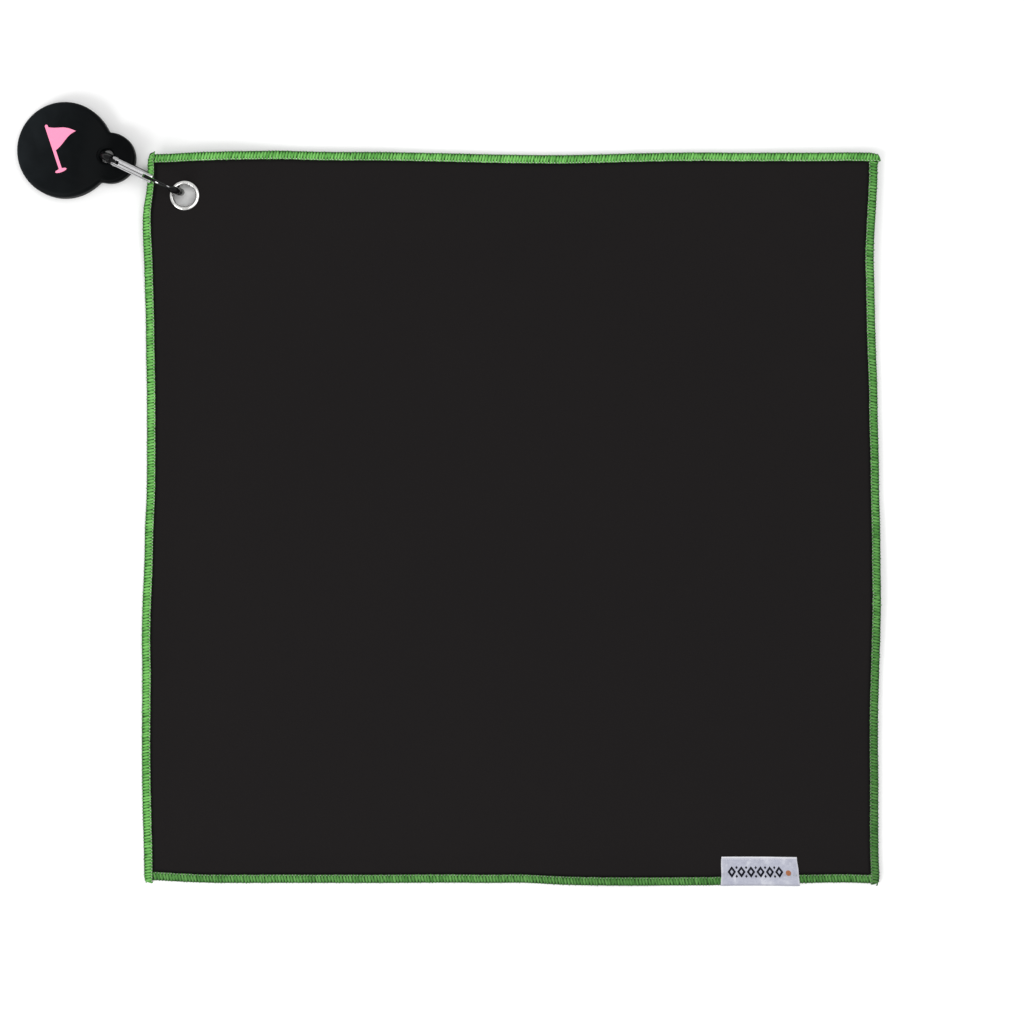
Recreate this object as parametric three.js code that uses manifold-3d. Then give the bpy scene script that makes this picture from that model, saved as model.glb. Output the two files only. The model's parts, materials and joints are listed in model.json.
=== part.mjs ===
// Golf towel: a square microfibre cloth with an overlocked rim, a woven fold-over
// label, a metal eyelet at one corner, a small spring-gate carabiner through the
// eyelet, and a magnet puck that hangs on the carabiner.
// Units are millimetres, +Z is up. The origin is the centre of the cloth's flat
// underside. The cloth lies face up on a surface at z = 0.
import * as THREE from 'three';
import { mergeVertices } from 'three/addons/utils/BufferGeometryUtils.js';
import Module from 'manifold-3d';

const wasm = await Module();
wasm.setup();

// ---------------------------------------------------------------- dimensions
// cloth
const W = 407;              // cut width along X, across the overlocked rim
const H = 407;              // cut length along Y
const TOP_Y = 203.5;        // nominal Y of the top rim
const CLOTH_T = 1.8;        // cloth thickness
const GAP = 0.3;            // gap kept between neighbouring pieces
// overlock run round the rim
const EDGE_W = 4.6;         // width seen on the face
const EDGE_T = 0.45;        // thread thickness
const RIM_LIFT = 0.8;       // how far the thread under the rim lifts the cloth
// eyelet corner, held up by the carabiner that runs underneath
const CORNER_H = 6.5;
const CORNER_A = 32;        // flat patch, from the left rim
const CORNER_B = 34.5;      // flat patch, from the top rim
const CORNER_FALL = 54;     // distance over which the cloth comes down again
// label, folded over the bottom rim
const LABEL_A0 = 319.5;
const LABEL_A1 = 363.0;
const LABEL_LEN = 15.6;
const LABEL_T = 0.35;
// eyelet
const EYELET = new THREE.Vector2(-180.75, 177.92);
const EYELET_HOLE_R = 6.1;
const EYELET_R = 8.3;
const EYELET_BARREL_R = 6.75;
const CLOTH_HOLE_R = 7.1;
// carabiner, in its own plane: u along it, w across it from the back bar's centre line
const CARA_POS = new THREE.Vector3(-203.84, 189.50, 2.05);
const CARA_YAW = -26.0;     // degrees in plan
const CARA_LEAN = 6.0;      // degrees, the gate side leans towards -Y
const BAR_R = 2.0;
const CARA_W = 20;          // centre line to centre line
const CARA_HALF = 23;       // half length of the centre line
const PIVOT_U = -14.1;
const SHOULDER_L = -16.95;
const SHOULDER_R = 9.1;
const GATE_END = 8.5;
const GATE_HALF_L = 2.3;    // half width of the gate at the pivot
const GATE_HALF_R = 2.25;   // half width of the gate at its free end
const GATE_H = 2.1;         // half height of the gate
const TANG_T = 1.5;
const NOSE_T = 1.5;
const SLOT_L = 2.1;
const SLOT_R = 2.1;
const PIN_R = 0.65;
const PIN_HOLE_R = 0.95;
// magnet puck with its eye
const PUCK_POS = new THREE.Vector3(-222.44, 198.80, 4.45); // centre of the eye, underside
const PUCK_YAW = -10.2;     // degrees, from the puck towards the eye
const PUCK_TILT = 4.9;      // degrees, the eye side is propped on the carabiner
const PUCK_X = -24.95;
const PUCK_R = 26.5;
const PUCK_T = 8.0;
const EYE_X = 0.95;
const EYE_R = 13.9;
const EYE_T = 5.5;
const EYE_HOLE_R = 3.7;
const EYE_HOLE_X = -0.99;   // the hole sits a little off the centre of the eye
const EYE_HOLE_Y = 0.59;

// rim offsets: the rim is hand-cut and slightly wavy
const RIM_S = [0, 6, 12, 18, 24, 30, 38, 48, 60, 75, 92, 110, 130, 150, 170, 190, 210, 230, 250, 270, 290, 310, 330, 350, 370, 390, 407];
const LEFT_X = [-201.4, -201.4, -201.2, -201.6, -202.5, -203.9, -204.2, -204.1, -203.7, -203.7, -203.2, -203.0, -202.6, -202.6, -202.6, -202.7, -203.8, -204.1, -205.0, -205.4, -205.0, -205.2, -205.4, -205.3, -204.9, -204.3, -204.1];
const RIGHT_X = [202.7, 202.5, 202.7, 202.5, 202.1, 201.8, 201.3, 200.7, 200.4, 201.0, 201.4, 202.0, 202.8, 203.0, 203.6, 203.8, 204.3, 204.3, 204.6, 204.3, 203.8, 203.2, 203.1, 203.4, 203.3, 203.4, 204.1];
const TOP_YS = [201.1, 201.0, 201.1, 201.6, 201.9, 202.2, 202.4, 202.8, 203.2, 203.6, 203.0, 202.8, 202.9, 202.6, 202.2, 201.7, 201.4, 201.2, 201.6, 202.2, 202.6, 202.8, 202.5, 202.5, 202.4, 202.6, 202.3];
const BOTTOM_YS = [-201.2, -201.0, -201.4, -201.9, -202.1, -202.4, -202.7, -202.7, -202.7, -202.6, -202.6, -202.6, -202.7, -202.6, -202.5, -202.7, -202.5, -203.6, -203.8, -203.9, -204.0, -204.1, -203.3, -202.8, -202.6, -202.4, -203.1];

// grid lines of the cloth: a runs from the left rim, b from the top rim
const A_LINES = [0.75, 4.6, 11, 18, 25, 32, 42, 56, 74, 96, 120, 146, 172, 198, 224, 250, 276, 306, 317, 341, 365.5, 377, 390, 402.4, 406.25];
const B_LINES = [0.75, 4.6, 11, 18, 26, 34.5, 44, 58, 76, 98, 122, 148, 174, 200, 226, 252, 278, 304, 330, 354, 377, 390.2, 400.6, 402.4, 406.25];

// soft ripples along the rim: side, centre, half length, height, reach inwards
const RIPPLES = [
  ['top', 100, 62, 1.3, 28],
  ['top', 372, 70, 1.0, 26],
  ['right', 44, 74, 2.1, 34],
  ['right', 240, 58, 1.7, 28],
  ['bottom', 262, 52, 2.3, 30],
  ['left', 292, 64, 1.1, 26],
  ['left', 118, 40, 0.5, 22],
  ['bottom', 96, 60, 0.6, 22],
];

// ---------------------------------------------------------------- cloth form
function interp(xs, ys, x) {
  if (x <= xs[0]) return ys[0];
  for (let i = 1; i < xs.length; i++) {
    if (x <= xs[i]) return ys[i - 1] + (ys[i] - ys[i - 1]) * (x - xs[i - 1]) / (xs[i] - xs[i - 1]);
  }
  return ys[ys.length - 1];
}

function planPoint(a, b) {
  const l = interp(RIM_S, LEFT_X, b), r = interp(RIM_S, RIGHT_X, b);
  const t = interp(RIM_S, TOP_YS, a), bo = interp(RIM_S, BOTTOM_YS, a);
  return [l + (r - l) * a / W, t + (bo - t) * b / H];
}

const bell = (x, half) => (Math.abs(x) >= half ? 0 : Math.cos(Math.PI / 2 * x / half) ** 2);

function liftFormula(a, b) {
  const q = { left: a, right: W - a, top: b, bottom: H - b };
  const along = { left: b, right: b, top: a, bottom: a };
  const rim = interp([0, 4.6, 6.4, 11, 18], [RIM_LIFT, RIM_LIFT, 0.6, 0.2, 0], Math.min(q.left, q.right, q.top, q.bottom));
  const lx = interp([306, 317, 365.5, 377], [0, 1, 1, 0], a);
  const lq = interp([0, 4.6, 6.4, 16.8, 30], [1.6, 1.6, 0.92, 0.75, 0], q.bottom);
  let z = Math.max(rim, lx * lq);
  for (const [side, c, half, height, reach] of RIPPLES) {
    z += height * bell(along[side] - c, half) * bell(q[side], reach);
  }
  const d = Math.hypot(Math.max(0, a - CORNER_A), Math.max(0, b - CORNER_B));
  const t = Math.min(1, d / CORNER_FALL);
  const c = 1 - t * t * (3 - 2 * t);
  return z * (1 - c) + CORNER_H * c;
}

// the lift is a table on the grid lines, so every piece on the cloth reads the same surface
const A_ALL = [0, ...A_LINES, W];
const B_ALL = [0, ...B_LINES, H];
const LIFT = A_ALL.map((a) => B_ALL.map((b) => liftFormula(a, b)));

function lift(a, b) {
  const cell = (xs, x) => {
    let i = 0;
    while (i < xs.length - 2 && x > xs[i + 1]) i++;
    return [i, (x - xs[i]) / (xs[i + 1] - xs[i])];
  };
  const [i, s] = cell(A_ALL, a), [j, t] = cell(B_ALL, b);
  return (LIFT[i][j] * (1 - s) + LIFT[i + 1][j] * s) * (1 - t) + (LIFT[i][j + 1] * (1 - s) + LIFT[i + 1][j + 1] * s) * t;
}

// ---------------------------------------------------------------- mesh helpers
function geometryFrom(points, tris) {
  const g = new THREE.BufferGeometry();
  g.setAttribute('position', new THREE.BufferAttribute(new Float32Array(points.flat()), 3));
  g.setIndex(tris.flat());
  return outward(g);
}

function outward(g) {
  const p = g.getAttribute('position'), ix = g.index.array;
  let v = 0;
  const a = new THREE.Vector3(), b = new THREE.Vector3(), c = new THREE.Vector3();
  for (let i = 0; i < ix.length; i += 3) {
    a.fromBufferAttribute(p, ix[i]); b.fromBufferAttribute(p, ix[i + 1]); c.fromBufferAttribute(p, ix[i + 2]);
    v += a.dot(b.cross(c));
  }
  if (v < 0) for (let i = 0; i < ix.length; i += 3) { const t = ix[i]; ix[i] = ix[i + 1]; ix[i + 1] = t; }
  g.computeVertexNormals();
  return g;
}

// sections: a list of closed rings with the same number of points
function loft(sections, capShape) {
  const n = sections[0].length, points = sections.flat(), tris = [];
  for (let s = 0; s < sections.length - 1; s++) {
    for (let i = 0; i < n; i++) {
      const j = (i + 1) % n, p = s * n, q = (s + 1) * n;
      tris.push([p + i, p + j, q + j], [p + i, q + j, q + i]);
    }
  }
  const cap = THREE.ShapeUtils.triangulateShape(capShape.map(([x, y]) => new THREE.Vector2(x, y)), []);
  const last = (sections.length - 1) * n;
  for (const [i, j, k] of cap) {
    tris.push([i, k, j]);
    tris.push([last + i, last + j, last + k]);
  }
  // the cap's winding follows the ring's, whichever way that runs
  let area = 0;
  for (let i = 0; i < n; i++) { const [x0, y0] = capShape[i], [x1, y1] = capShape[(i + 1) % n]; area += x0 * y1 - x1 * y0; }
  if (area < 0) for (let i = tris.length - 2 * cap.length; i < tris.length; i++) tris[i] = [tris[i][0], tris[i][2], tris[i][1]];
  return geometryFrom(points, tris);
}

function toSolid(geometry) {
  let g = geometry.clone();
  for (const name of Object.keys(g.attributes)) if (name !== 'position') g.deleteAttribute(name);
  g = mergeVertices(g, 1e-4);
  return new wasm.Manifold(new wasm.Mesh({
    numProp: 3,
    vertProperties: new Float32Array(g.getAttribute('position').array),
    triVerts: new Uint32Array(g.index.array),
  }));
}

function fromSolid(solid) {
  const m = solid.getMesh();
  const g = new THREE.BufferGeometry();
  g.setAttribute('position', new THREE.BufferAttribute(new Float32Array(m.vertProperties), 3));
  g.setIndex(Array.from(m.triVerts));
  g.computeVertexNormals();
  return g;
}

const flat = (color, roughness, metalness) => new THREE.MeshStandardMaterial({ color, roughness, metalness });
const MATERIALS = {
  cloth: flat(0x231f20, 0.95, 0),
  thread: flat(0x4f9e46, 0.8, 0),
  label: flat(0xc9c9d8, 0.8, 0),
  nickel: flat(0xd6d7d9, 0.2, 1),
  black: flat(0x141417, 0.35, 0.5),
  silver: flat(0xc4c6c9, 0.3, 1),
  puck: flat(0x35383b, 0.55, 0),
};

const group = new THREE.Group();
function addTo(parent, name, geometry, material) {
  const mesh = new THREE.Mesh(geometry, material);
  mesh.name = name;
  parent.add(mesh);
  return mesh;
}

// ---------------------------------------------------------------- cloth
function clothGeometry() {
  const points = [], tris = [], na = A_LINES.length, nb = B_LINES.length;
  for (const up of [0, CLOTH_T]) {
    for (const b of B_LINES) for (const a of A_LINES) {
      const [x, y] = planPoint(a, b);
      points.push([x, y, lift(a, b) + up]);
    }
  }
  const at = (i, j, top) => top * na * nb + j * na + i;
  for (let j = 0; j < nb - 1; j++) for (let i = 0; i < na - 1; i++) {
    for (const top of [0, 1]) {
      const p = at(i, j, top), q = at(i + 1, j, top), r = at(i + 1, j + 1, top), s = at(i, j + 1, top);
      if (top) tris.push([p, s, r], [p, r, q]); else tris.push([p, r, s], [p, q, r]);
    }
  }
  for (let i = 0; i < na - 1; i++) {
    tris.push([at(i, 0, 0), at(i, 0, 1), at(i + 1, 0, 1)], [at(i, 0, 0), at(i + 1, 0, 1), at(i + 1, 0, 0)]);
    tris.push([at(i, nb - 1, 0), at(i + 1, nb - 1, 1), at(i, nb - 1, 1)], [at(i, nb - 1, 0), at(i + 1, nb - 1, 0), at(i + 1, nb - 1, 1)]);
  }
  for (let j = 0; j < nb - 1; j++) {
    tris.push([at(0, j, 0), at(0, j + 1, 1), at(0, j, 1)], [at(0, j, 0), at(0, j + 1, 0), at(0, j + 1, 1)]);
    tris.push([at(na - 1, j, 0), at(na - 1, j, 1), at(na - 1, j + 1, 1)], [at(na - 1, j, 0), at(na - 1, j + 1, 1), at(na - 1, j + 1, 0)]);
  }
  return geometryFrom(points, tris);
}

const punch = new THREE.CylinderGeometry(CLOTH_HOLE_R, CLOTH_HOLE_R, 30, 28);
punch.rotateX(Math.PI / 2);
punch.translate(EYELET.x, EYELET.y, 5);
addTo(group, 'towel_cloth', fromSolid(toSolid(clothGeometry()).subtract(toSolid(punch))), MATERIALS.cloth);

// ---------------------------------------------------------------- overlocked rim
// one C-shaped run of thread a side; [distance from the rim, height above the cloth's underside]
const E = EDGE_T + GAP;
const EDGE_SECTION = [
  [0, -0.35], [0.35, -E], [EDGE_W, -E], [EDGE_W, -GAP], [EDGE_T, -GAP],
  [EDGE_T, CLOTH_T + GAP], [EDGE_W, CLOTH_T + GAP], [EDGE_W, CLOTH_T + E], [0.35, CLOTH_T + E], [0, CLOTH_T + 0.35],
];

function edgeRun(side) {
  const across = side === 'top' || side === 'bottom';
  const end = EDGE_W + GAP;
  const lines = across ? A_ALL : [end, ...B_LINES.filter((b) => b > end + 0.5 && b < H - end - 0.5), H - end];
  const sections = lines.map((s) => EDGE_SECTION.map(([q, z]) => {
    const a = side === 'left' ? q : side === 'right' ? W - q : s;
    const b = side === 'top' ? q : side === 'bottom' ? H - q : s;
    const [x, y] = planPoint(a, b);
    return [x, y, lift(a, b) + z];
  }));
  const mirrored = side === 'top' || side === 'right';
  return loft(mirrored ? sections.slice().reverse() : sections, EDGE_SECTION);
}
for (const side of ['left', 'top', 'right', 'bottom']) addTo(group, `edge_${side}`, edgeRun(side), MATERIALS.thread);

// ---------------------------------------------------------------- label
const F = E + GAP;          // clears the overlock run
const LABEL_SECTION = [
  [LABEL_LEN, CLOTH_T + GAP], [5.7, CLOTH_T + GAP], [4.9, CLOTH_T + F], [0.2, CLOTH_T + F], [-GAP, CLOTH_T + 0.6],
  [-GAP, -0.6], [0.2, -F], [4.9, -F], [5.7, -GAP], [LABEL_LEN, -GAP],
  [LABEL_LEN, -GAP - LABEL_T], [5.9, -GAP - LABEL_T], [5.0, -F - LABEL_T], [0.1, -F - LABEL_T], [-GAP - LABEL_T, -0.75],
  [-GAP - LABEL_T, CLOTH_T + 0.75], [0.1, CLOTH_T + F + LABEL_T], [5.0, CLOTH_T + F + LABEL_T], [5.9, CLOTH_T + GAP + LABEL_T], [LABEL_LEN, CLOTH_T + GAP + LABEL_T],
];
const labelSections = [LABEL_A0, 330, 341, 352, LABEL_A1].map((s) => LABEL_SECTION.map(([q, z]) => {
  const a = s + (s === LABEL_A1 ? -0.07 * Math.max(0, q) : 0);
  const [x, y] = planPoint(a, H - Math.max(0, q));
  return [x, y + Math.min(0, q), lift(a, H - Math.max(0, q)) + z];
}));
addTo(group, 'label', loft(labelSections, LABEL_SECTION), MATERIALS.label);

// ---------------------------------------------------------------- eyelet
const zt = CORNER_H + CLOTH_T + GAP, zb = CORNER_H - GAP;
const eyeletProfile = [
  [EYELET_HOLE_R, zb - 0.35], [EYELET_HOLE_R, zt + 0.45], [EYELET_HOLE_R + 0.35, zt + 0.85], [7.1, zt + 1.0], [7.8, zt + 0.75],
  [EYELET_R, zt + 0.25], [EYELET_R, zt], [EYELET_BARREL_R, zt], [EYELET_BARREL_R, zb], [EYELET_R - 0.3, zb], [EYELET_R - 0.3, zb - 0.3],
  [7.4, zb - 0.7], [6.6, zb - 0.7],
].map(([r, z]) => new THREE.Vector2(r, z));
eyeletProfile.push(eyeletProfile[0].clone());
const eyelet = new THREE.LatheGeometry(eyeletProfile, 28);
eyelet.rotateX(Math.PI / 2);
eyelet.translate(EYELET.x, EYELET.y, 0);
const eyeletSolid = fromSolid(toSolid(outwardIndexed(eyelet)));
addTo(group, 'eyelet', eyeletSolid, MATERIALS.nickel);

function outwardIndexed(g) {
  for (const name of Object.keys(g.attributes)) if (name !== 'position') g.deleteAttribute(name);
  return outward(mergeVertices(g, 1e-4));
}

// ---------------------------------------------------------------- carabiner
const rad = THREE.MathUtils.degToRad;
const cara = new THREE.Group();
const uDir = new THREE.Vector3(Math.cos(rad(CARA_YAW)), Math.sin(rad(CARA_YAW)), 0);
const side = new THREE.Vector3(-uDir.y, uDir.x, 0);
const wDir = new THREE.Vector3(0, 0, Math.cos(rad(CARA_LEAN))).addScaledVector(side, -Math.sin(rad(CARA_LEAN)));
const nDir = new THREE.Vector3().crossVectors(uDir, wDir);
// the lean turns about the middle of the loop in plan, so the back bar steps the other way
const caraOrigin = CARA_POS.clone().addScaledVector(side, Math.sin(rad(CARA_LEAN)) * CARA_W / 2);
cara.applyMatrix4(new THREE.Matrix4().makeBasis(uDir, wDir, nDir).setPosition(caraOrigin));
group.add(cara);

function arc(cx, cy, r, from, to, steps) {
  const out = [];
  for (let i = 0; i <= steps; i++) {
    const t = rad(from + (to - from) * i / steps);
    out.push([cx + r * Math.cos(t), cy + r * Math.sin(t)]);
  }
  return out;
}
const startAngle = THREE.MathUtils.radToDeg(Math.acos((SHOULDER_L + 15) / 8));
const barLine = [
  ...arc(-15, 12, 8, startAngle, 180, 6),
  ...arc(-16, 7, 7, 180, 270, 6),
  [-5, 0], [6, 0],
  ...arc(17, 6, 6, 270, 360, 6),
  ...arc(14, CARA_W - 9, 9, 0, 90, 9),
  [SHOULDER_R, CARA_W],
];

// the arm over the bow is milled flat on both sides, down to a blade that carries the nose
const BLADE_T = 1.9;
function flatness(u, w) {
  const t = Math.min(1, Math.max(0, (THREE.MathUtils.radToDeg(Math.atan2(w - 11, u - 14)) - 40) / 18));
  return u > 8 && w > 11.5 ? 1 + (BLADE_T / (2 * BAR_R) - 1) * t * t * (3 - 2 * t) : 1;
}

function barGeometry(line, radius, sides) {
  const ring = [], sections = [];
  for (let k = 0; k < sides; k++) ring.push([radius * Math.cos(2 * Math.PI * k / sides), radius * Math.sin(2 * Math.PI * k / sides)]);
  line.forEach(([u, w], i) => {
    const p = line[Math.max(0, i - 1)], q = line[Math.min(line.length - 1, i + 1)];
    const len = Math.hypot(q[0] - p[0], q[1] - p[1]);
    const n = [-(q[1] - p[1]) / len, (q[0] - p[0]) / len];
    sections.push(ring.map(([x, y]) => [u + n[0] * x, w + n[1] * x, y * flatness(u, w)]));
  });
  return loft(sections, ring);
}

function plate(outline, thickness) {
  const g = new THREE.ExtrudeGeometry(new THREE.Shape(outline.map(([x, y]) => new THREE.Vector2(x, y))), { depth: thickness, bevelEnabled: false });
  g.translate(0, 0, -thickness / 2);
  return g;
}
function pinHole(u, w, r, length, sides) {
  const g = new THREE.CylinderGeometry(r, r, length, sides);
  g.rotateX(Math.PI / 2);
  g.translate(u, w, 0);
  return g;
}

const tang = plate([[-17.7, 18.3], [PIVOT_U, CARA_W - 1.6], ...arc(PIVOT_U, CARA_W, 1.6, -75, 75, 6), [PIVOT_U, CARA_W + 1.6], [-17.7, 20.9]], TANG_T);
const nose = plate([[11.5, CARA_W - 1.3], [11.5, CARA_W + 1.3], [4.3, CARA_W + 1.3], [3.7, CARA_W + 0.7], [3.7, CARA_W - 0.7], [4.3, CARA_W - 1.3]], NOSE_T);
const body = toSolid(barGeometry(barLine, BAR_R, 12))
  .add(toSolid(tang)).add(toSolid(nose))
  .subtract(toSolid(pinHole(PIVOT_U, CARA_W, PIN_HOLE_R, 8, 14)));
addTo(cara, 'carabiner_body', fromSolid(body), MATERIALS.black);

// the gate: a slotted bar with a rounded pivot end
function gateBlock() {
  const stations = [];
  for (const c of [0.985, 0.87, 0.64, 0.34, 0]) stations.push([PIVOT_U - GATE_H * c, GATE_H * Math.sqrt(1 - c * c)]);
  stations.push([-2.5, 2.05], [GATE_END - 0.5, 1.9], [GATE_END, 1.5]);
  const sections = stations.map(([u, h]) => {
    const t = (u - PIVOT_U) / (GATE_END - PIVOT_U);
    const n = GATE_HALF_L + (GATE_HALF_R - GATE_HALF_L) * Math.max(0, t) - (u === GATE_END ? 0.4 : 0);
    const ch = Math.min(0.7, h * 0.45), cn = 0.7;
    return [[n, h - ch], [n - cn, h], [-n + cn, h], [-n, h - ch], [-n, -h + ch], [-n + cn, -h], [n - cn, -h], [n, -h + ch]].map(([z, y]) => [u, CARA_W + y, z]);
  });
  return loft(sections, sections[4].map(([, y, z]) => [z, y]));
}
const slotL = new THREE.BoxGeometry(6.6, 8, SLOT_L); slotL.translate(-11.7 - 3.3, CARA_W, 0);
const slotR = new THREE.BoxGeometry(8, 8, SLOT_R); slotR.translate(3.1 + 4, CARA_W, 0);
const gate = toSolid(gateBlock())
  .subtract(toSolid(slotL)).subtract(toSolid(slotR))
  .subtract(toSolid(pinHole(PIVOT_U, CARA_W, PIN_HOLE_R, 8, 14)));
addTo(cara, 'gate', fromSolid(gate), MATERIALS.silver);

const rivetProfile = [[0, -2.9], [0.8, -2.87], [1.2, -2.75], [1.2, -2.6], [PIN_R, -2.6], [PIN_R, 2.6], [1.2, 2.6], [1.2, 2.75], [0.8, 2.87], [0, 2.9]];
const rivet = new THREE.LatheGeometry(rivetProfile.map(([r, z]) => new THREE.Vector2(r, z)), 12);
rivet.rotateX(Math.PI / 2);
rivet.translate(PIVOT_U, CARA_W, 0);
addTo(cara, 'gate_rivet', fromSolid(toSolid(outwardIndexed(rivet))), MATERIALS.silver);

// ---------------------------------------------------------------- magnet puck
// own frame: x from the puck to the eye, origin in the eye's centre on the flat back
const puck = new THREE.Group();
puck.position.copy(PUCK_POS);
puck.rotation.set(0, -rad(PUCK_TILT), rad(PUCK_YAW), 'ZYX');
group.add(puck);

const depthIn = (x, y) => Math.max(PUCK_R - Math.hypot(x - PUCK_X, y), EYE_R - Math.hypot(x - EYE_X, y));
function puckTop(x, y, d) {
  const t = Math.min(1, Math.max(0, (x - (PUCK_X + 9)) / 17));
  const full = PUCK_T + (EYE_T - PUCK_T) * t * t * (3 - 2 * t);
  const r = 2.6 - 0.8 * t;
  const dd = Math.min(Math.max(d, 0), r);
  return full - r + Math.sqrt(Math.max(0, r * r - (r - dd) * (r - dd)));
}
function puckSections() {
  const xs = [];
  const cross = (((PUCK_X - EYE_X) ** 2) + PUCK_R ** 2 - EYE_R ** 2) / (2 * (EYE_X - PUCK_X)) + PUCK_X;
  const half = (x) => {
    const p = PUCK_R ** 2 - (x - PUCK_X) ** 2, e = EYE_R ** 2 - (x - EYE_X) ** 2;
    return Math.sqrt(Math.max(p, e, 0));
  };
  for (const c of [89, 80, 70, 60, 50, 39, 27, 14, 0]) xs.push(PUCK_X - PUCK_R * Math.sin(rad(c)));
  for (const c of [14, 27, 38, 48]) xs.push(PUCK_X + PUCK_R * Math.sin(rad(c)));
  xs.push(cross - 0.9, cross, cross + 0.9);
  for (const c of [0.4, 4, 7, 9.6, 11.6, 12.9, 13.6, 13.87]) xs.push(EYE_X + c);
  const sorted = xs.sort((p, q) => p - q);
  const eta = [-1, -0.985, -0.94, -0.82, -0.55, -0.2, 0.2, 0.55, 0.82, 0.94, 0.985, 1];
  return sorted.map((x) => {
    const b = half(x), top = eta.map((e) => {
      const y = e * b, d = Math.abs(e) === 1 ? 0 : depthIn(x, y);
      return [x, y, puckTop(x, y, d)];
    });
    const s = Math.max(0.2, b - 0.7) / Math.max(b, 0.2);
    return [[x, -b, 0.7], ...top, [x, b, 0.7], [x, b * s, 0], [x, -b * s, 0]];
  });
}
const sec = puckSections();
const puckGeo = loft(sec, sec[8].map(([, y, z]) => [y, z]));
const eyeHole = new THREE.LatheGeometry([[0, -2], [EYE_HOLE_R + 0.6, -2], [EYE_HOLE_R + 0.6, 0.1], [EYE_HOLE_R, 0.7], [EYE_HOLE_R, EYE_T - 1.1], [EYE_HOLE_R + 1.1, EYE_T + 0.05], [EYE_HOLE_R + 1.1, 12], [0, 12]].map(([r, z]) => new THREE.Vector2(r, z)), 28);
eyeHole.rotateX(Math.PI / 2);
eyeHole.translate(EYE_HOLE_X, EYE_HOLE_Y, 0);
addTo(puck, 'magnet_puck', fromSolid(toSolid(puckGeo).subtract(toSolid(outwardIndexed(eyeHole)))), MATERIALS.puck);

export default group;
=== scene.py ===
"""The looks of the golf towel: microfibre square, overlocked rim, folded label, eyelet, carabiner and magnet puck.

Lengths below are in millimetres in the CAD's frame; MM turns them into metres when a mesh is made.
The cloth's form repeats part.mjs: a runs from the left rim, b from the top rim, lift is the height of the underside.
"""
import json
import math

import bmesh
import bpy
import numpy as np
from mathutils import Matrix, Vector


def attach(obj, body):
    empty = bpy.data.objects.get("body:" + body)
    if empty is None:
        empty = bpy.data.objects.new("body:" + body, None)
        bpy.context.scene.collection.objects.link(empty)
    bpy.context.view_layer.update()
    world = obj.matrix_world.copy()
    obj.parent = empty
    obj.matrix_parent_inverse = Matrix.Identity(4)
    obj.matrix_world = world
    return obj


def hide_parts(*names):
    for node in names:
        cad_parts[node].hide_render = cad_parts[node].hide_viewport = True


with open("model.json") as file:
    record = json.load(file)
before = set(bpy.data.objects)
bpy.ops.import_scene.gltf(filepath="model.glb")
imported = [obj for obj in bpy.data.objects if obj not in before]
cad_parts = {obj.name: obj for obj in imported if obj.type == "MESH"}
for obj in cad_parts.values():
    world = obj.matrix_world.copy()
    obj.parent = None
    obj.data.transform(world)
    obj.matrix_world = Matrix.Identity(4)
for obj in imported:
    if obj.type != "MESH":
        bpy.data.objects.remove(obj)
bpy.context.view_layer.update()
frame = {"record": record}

MM = 0.001
NODE_BODY = {n: b for b, ns in frame["record"]["behaviour"]["bodies"].items() for n in ns}
scene = bpy.context.scene

# ------------------------------------------------------------------ dimensions, as in part.mjs
W = H = 407.0
T = 1.8
RIM_LIFT, CORNER_H, CORNER_A, CORNER_B, CORNER_FALL = 0.8, 6.5, 32.0, 34.5, 54.0
RIM_S = [0, 6, 12, 18, 24, 30, 38, 48, 60, 75, 92, 110, 130, 150, 170, 190, 210, 230, 250, 270, 290, 310, 330, 350, 370, 390, 407]
LEFT_X = [-201.4, -201.4, -201.2, -201.6, -202.5, -203.9, -204.2, -204.1, -203.7, -203.7, -203.2, -203.0, -202.6, -202.6, -202.6, -202.7, -203.8, -204.1, -205.0, -205.4, -205.0, -205.2, -205.4, -205.3, -204.9, -204.3, -204.1]
RIGHT_X = [202.7, 202.5, 202.7, 202.5, 202.1, 201.8, 201.3, 200.7, 200.4, 201.0, 201.4, 202.0, 202.8, 203.0, 203.6, 203.8, 204.3, 204.3, 204.6, 204.3, 203.8, 203.2, 203.1, 203.4, 203.3, 203.4, 204.1]
TOP_Y = [201.1, 201.0, 201.1, 201.6, 201.9, 202.2, 202.4, 202.8, 203.2, 203.6, 203.0, 202.8, 202.9, 202.6, 202.2, 201.7, 201.4, 201.2, 201.6, 202.2, 202.6, 202.8, 202.5, 202.5, 202.4, 202.6, 202.3]
BOTTOM_Y = [-201.2, -201.0, -201.4, -201.9, -202.1, -202.4, -202.7, -202.7, -202.7, -202.6, -202.6, -202.6, -202.7, -202.6, -202.5, -202.7, -202.5, -203.6, -203.8, -203.9, -204.0, -204.1, -203.3, -202.8, -202.6, -202.4, -203.1]
RIPPLES = [
    ("top", 100, 62, 1.3, 28), ("top", 372, 70, 1.0, 26), ("right", 44, 74, 2.1, 34), ("right", 240, 58, 1.7, 28),
    ("bottom", 262, 52, 2.3, 30), ("left", 292, 64, 1.1, 26), ("left", 118, 40, 0.5, 22), ("bottom", 96, 60, 0.6, 22),
]
LABEL_A0, LABEL_A1, LABEL_LEN, LABEL_T = 319.5, 362.6, 15.6, 0.35
EYELET = (-180.75, 177.92)


# ------------------------------------------------------------------ the cloth's form
def soft_table(ys, sigma=4.0):
    """A rim table as a smooth curve."""
    grid = np.arange(-20.0, 427.01, 0.5)
    v = np.interp(grid, RIM_S, ys)
    k = np.exp(-0.5 * (np.arange(-30, 31) * 0.5 / sigma) ** 2)
    smooth = np.convolve(np.pad(v, 30, mode="edge"), k / k.sum(), "valid")
    return lambda s: np.interp(s, grid, smooth)


left_x, right_x, top_y, bottom_y = (soft_table(t) for t in (LEFT_X, RIGHT_X, TOP_Y, BOTTOM_Y))


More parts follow.
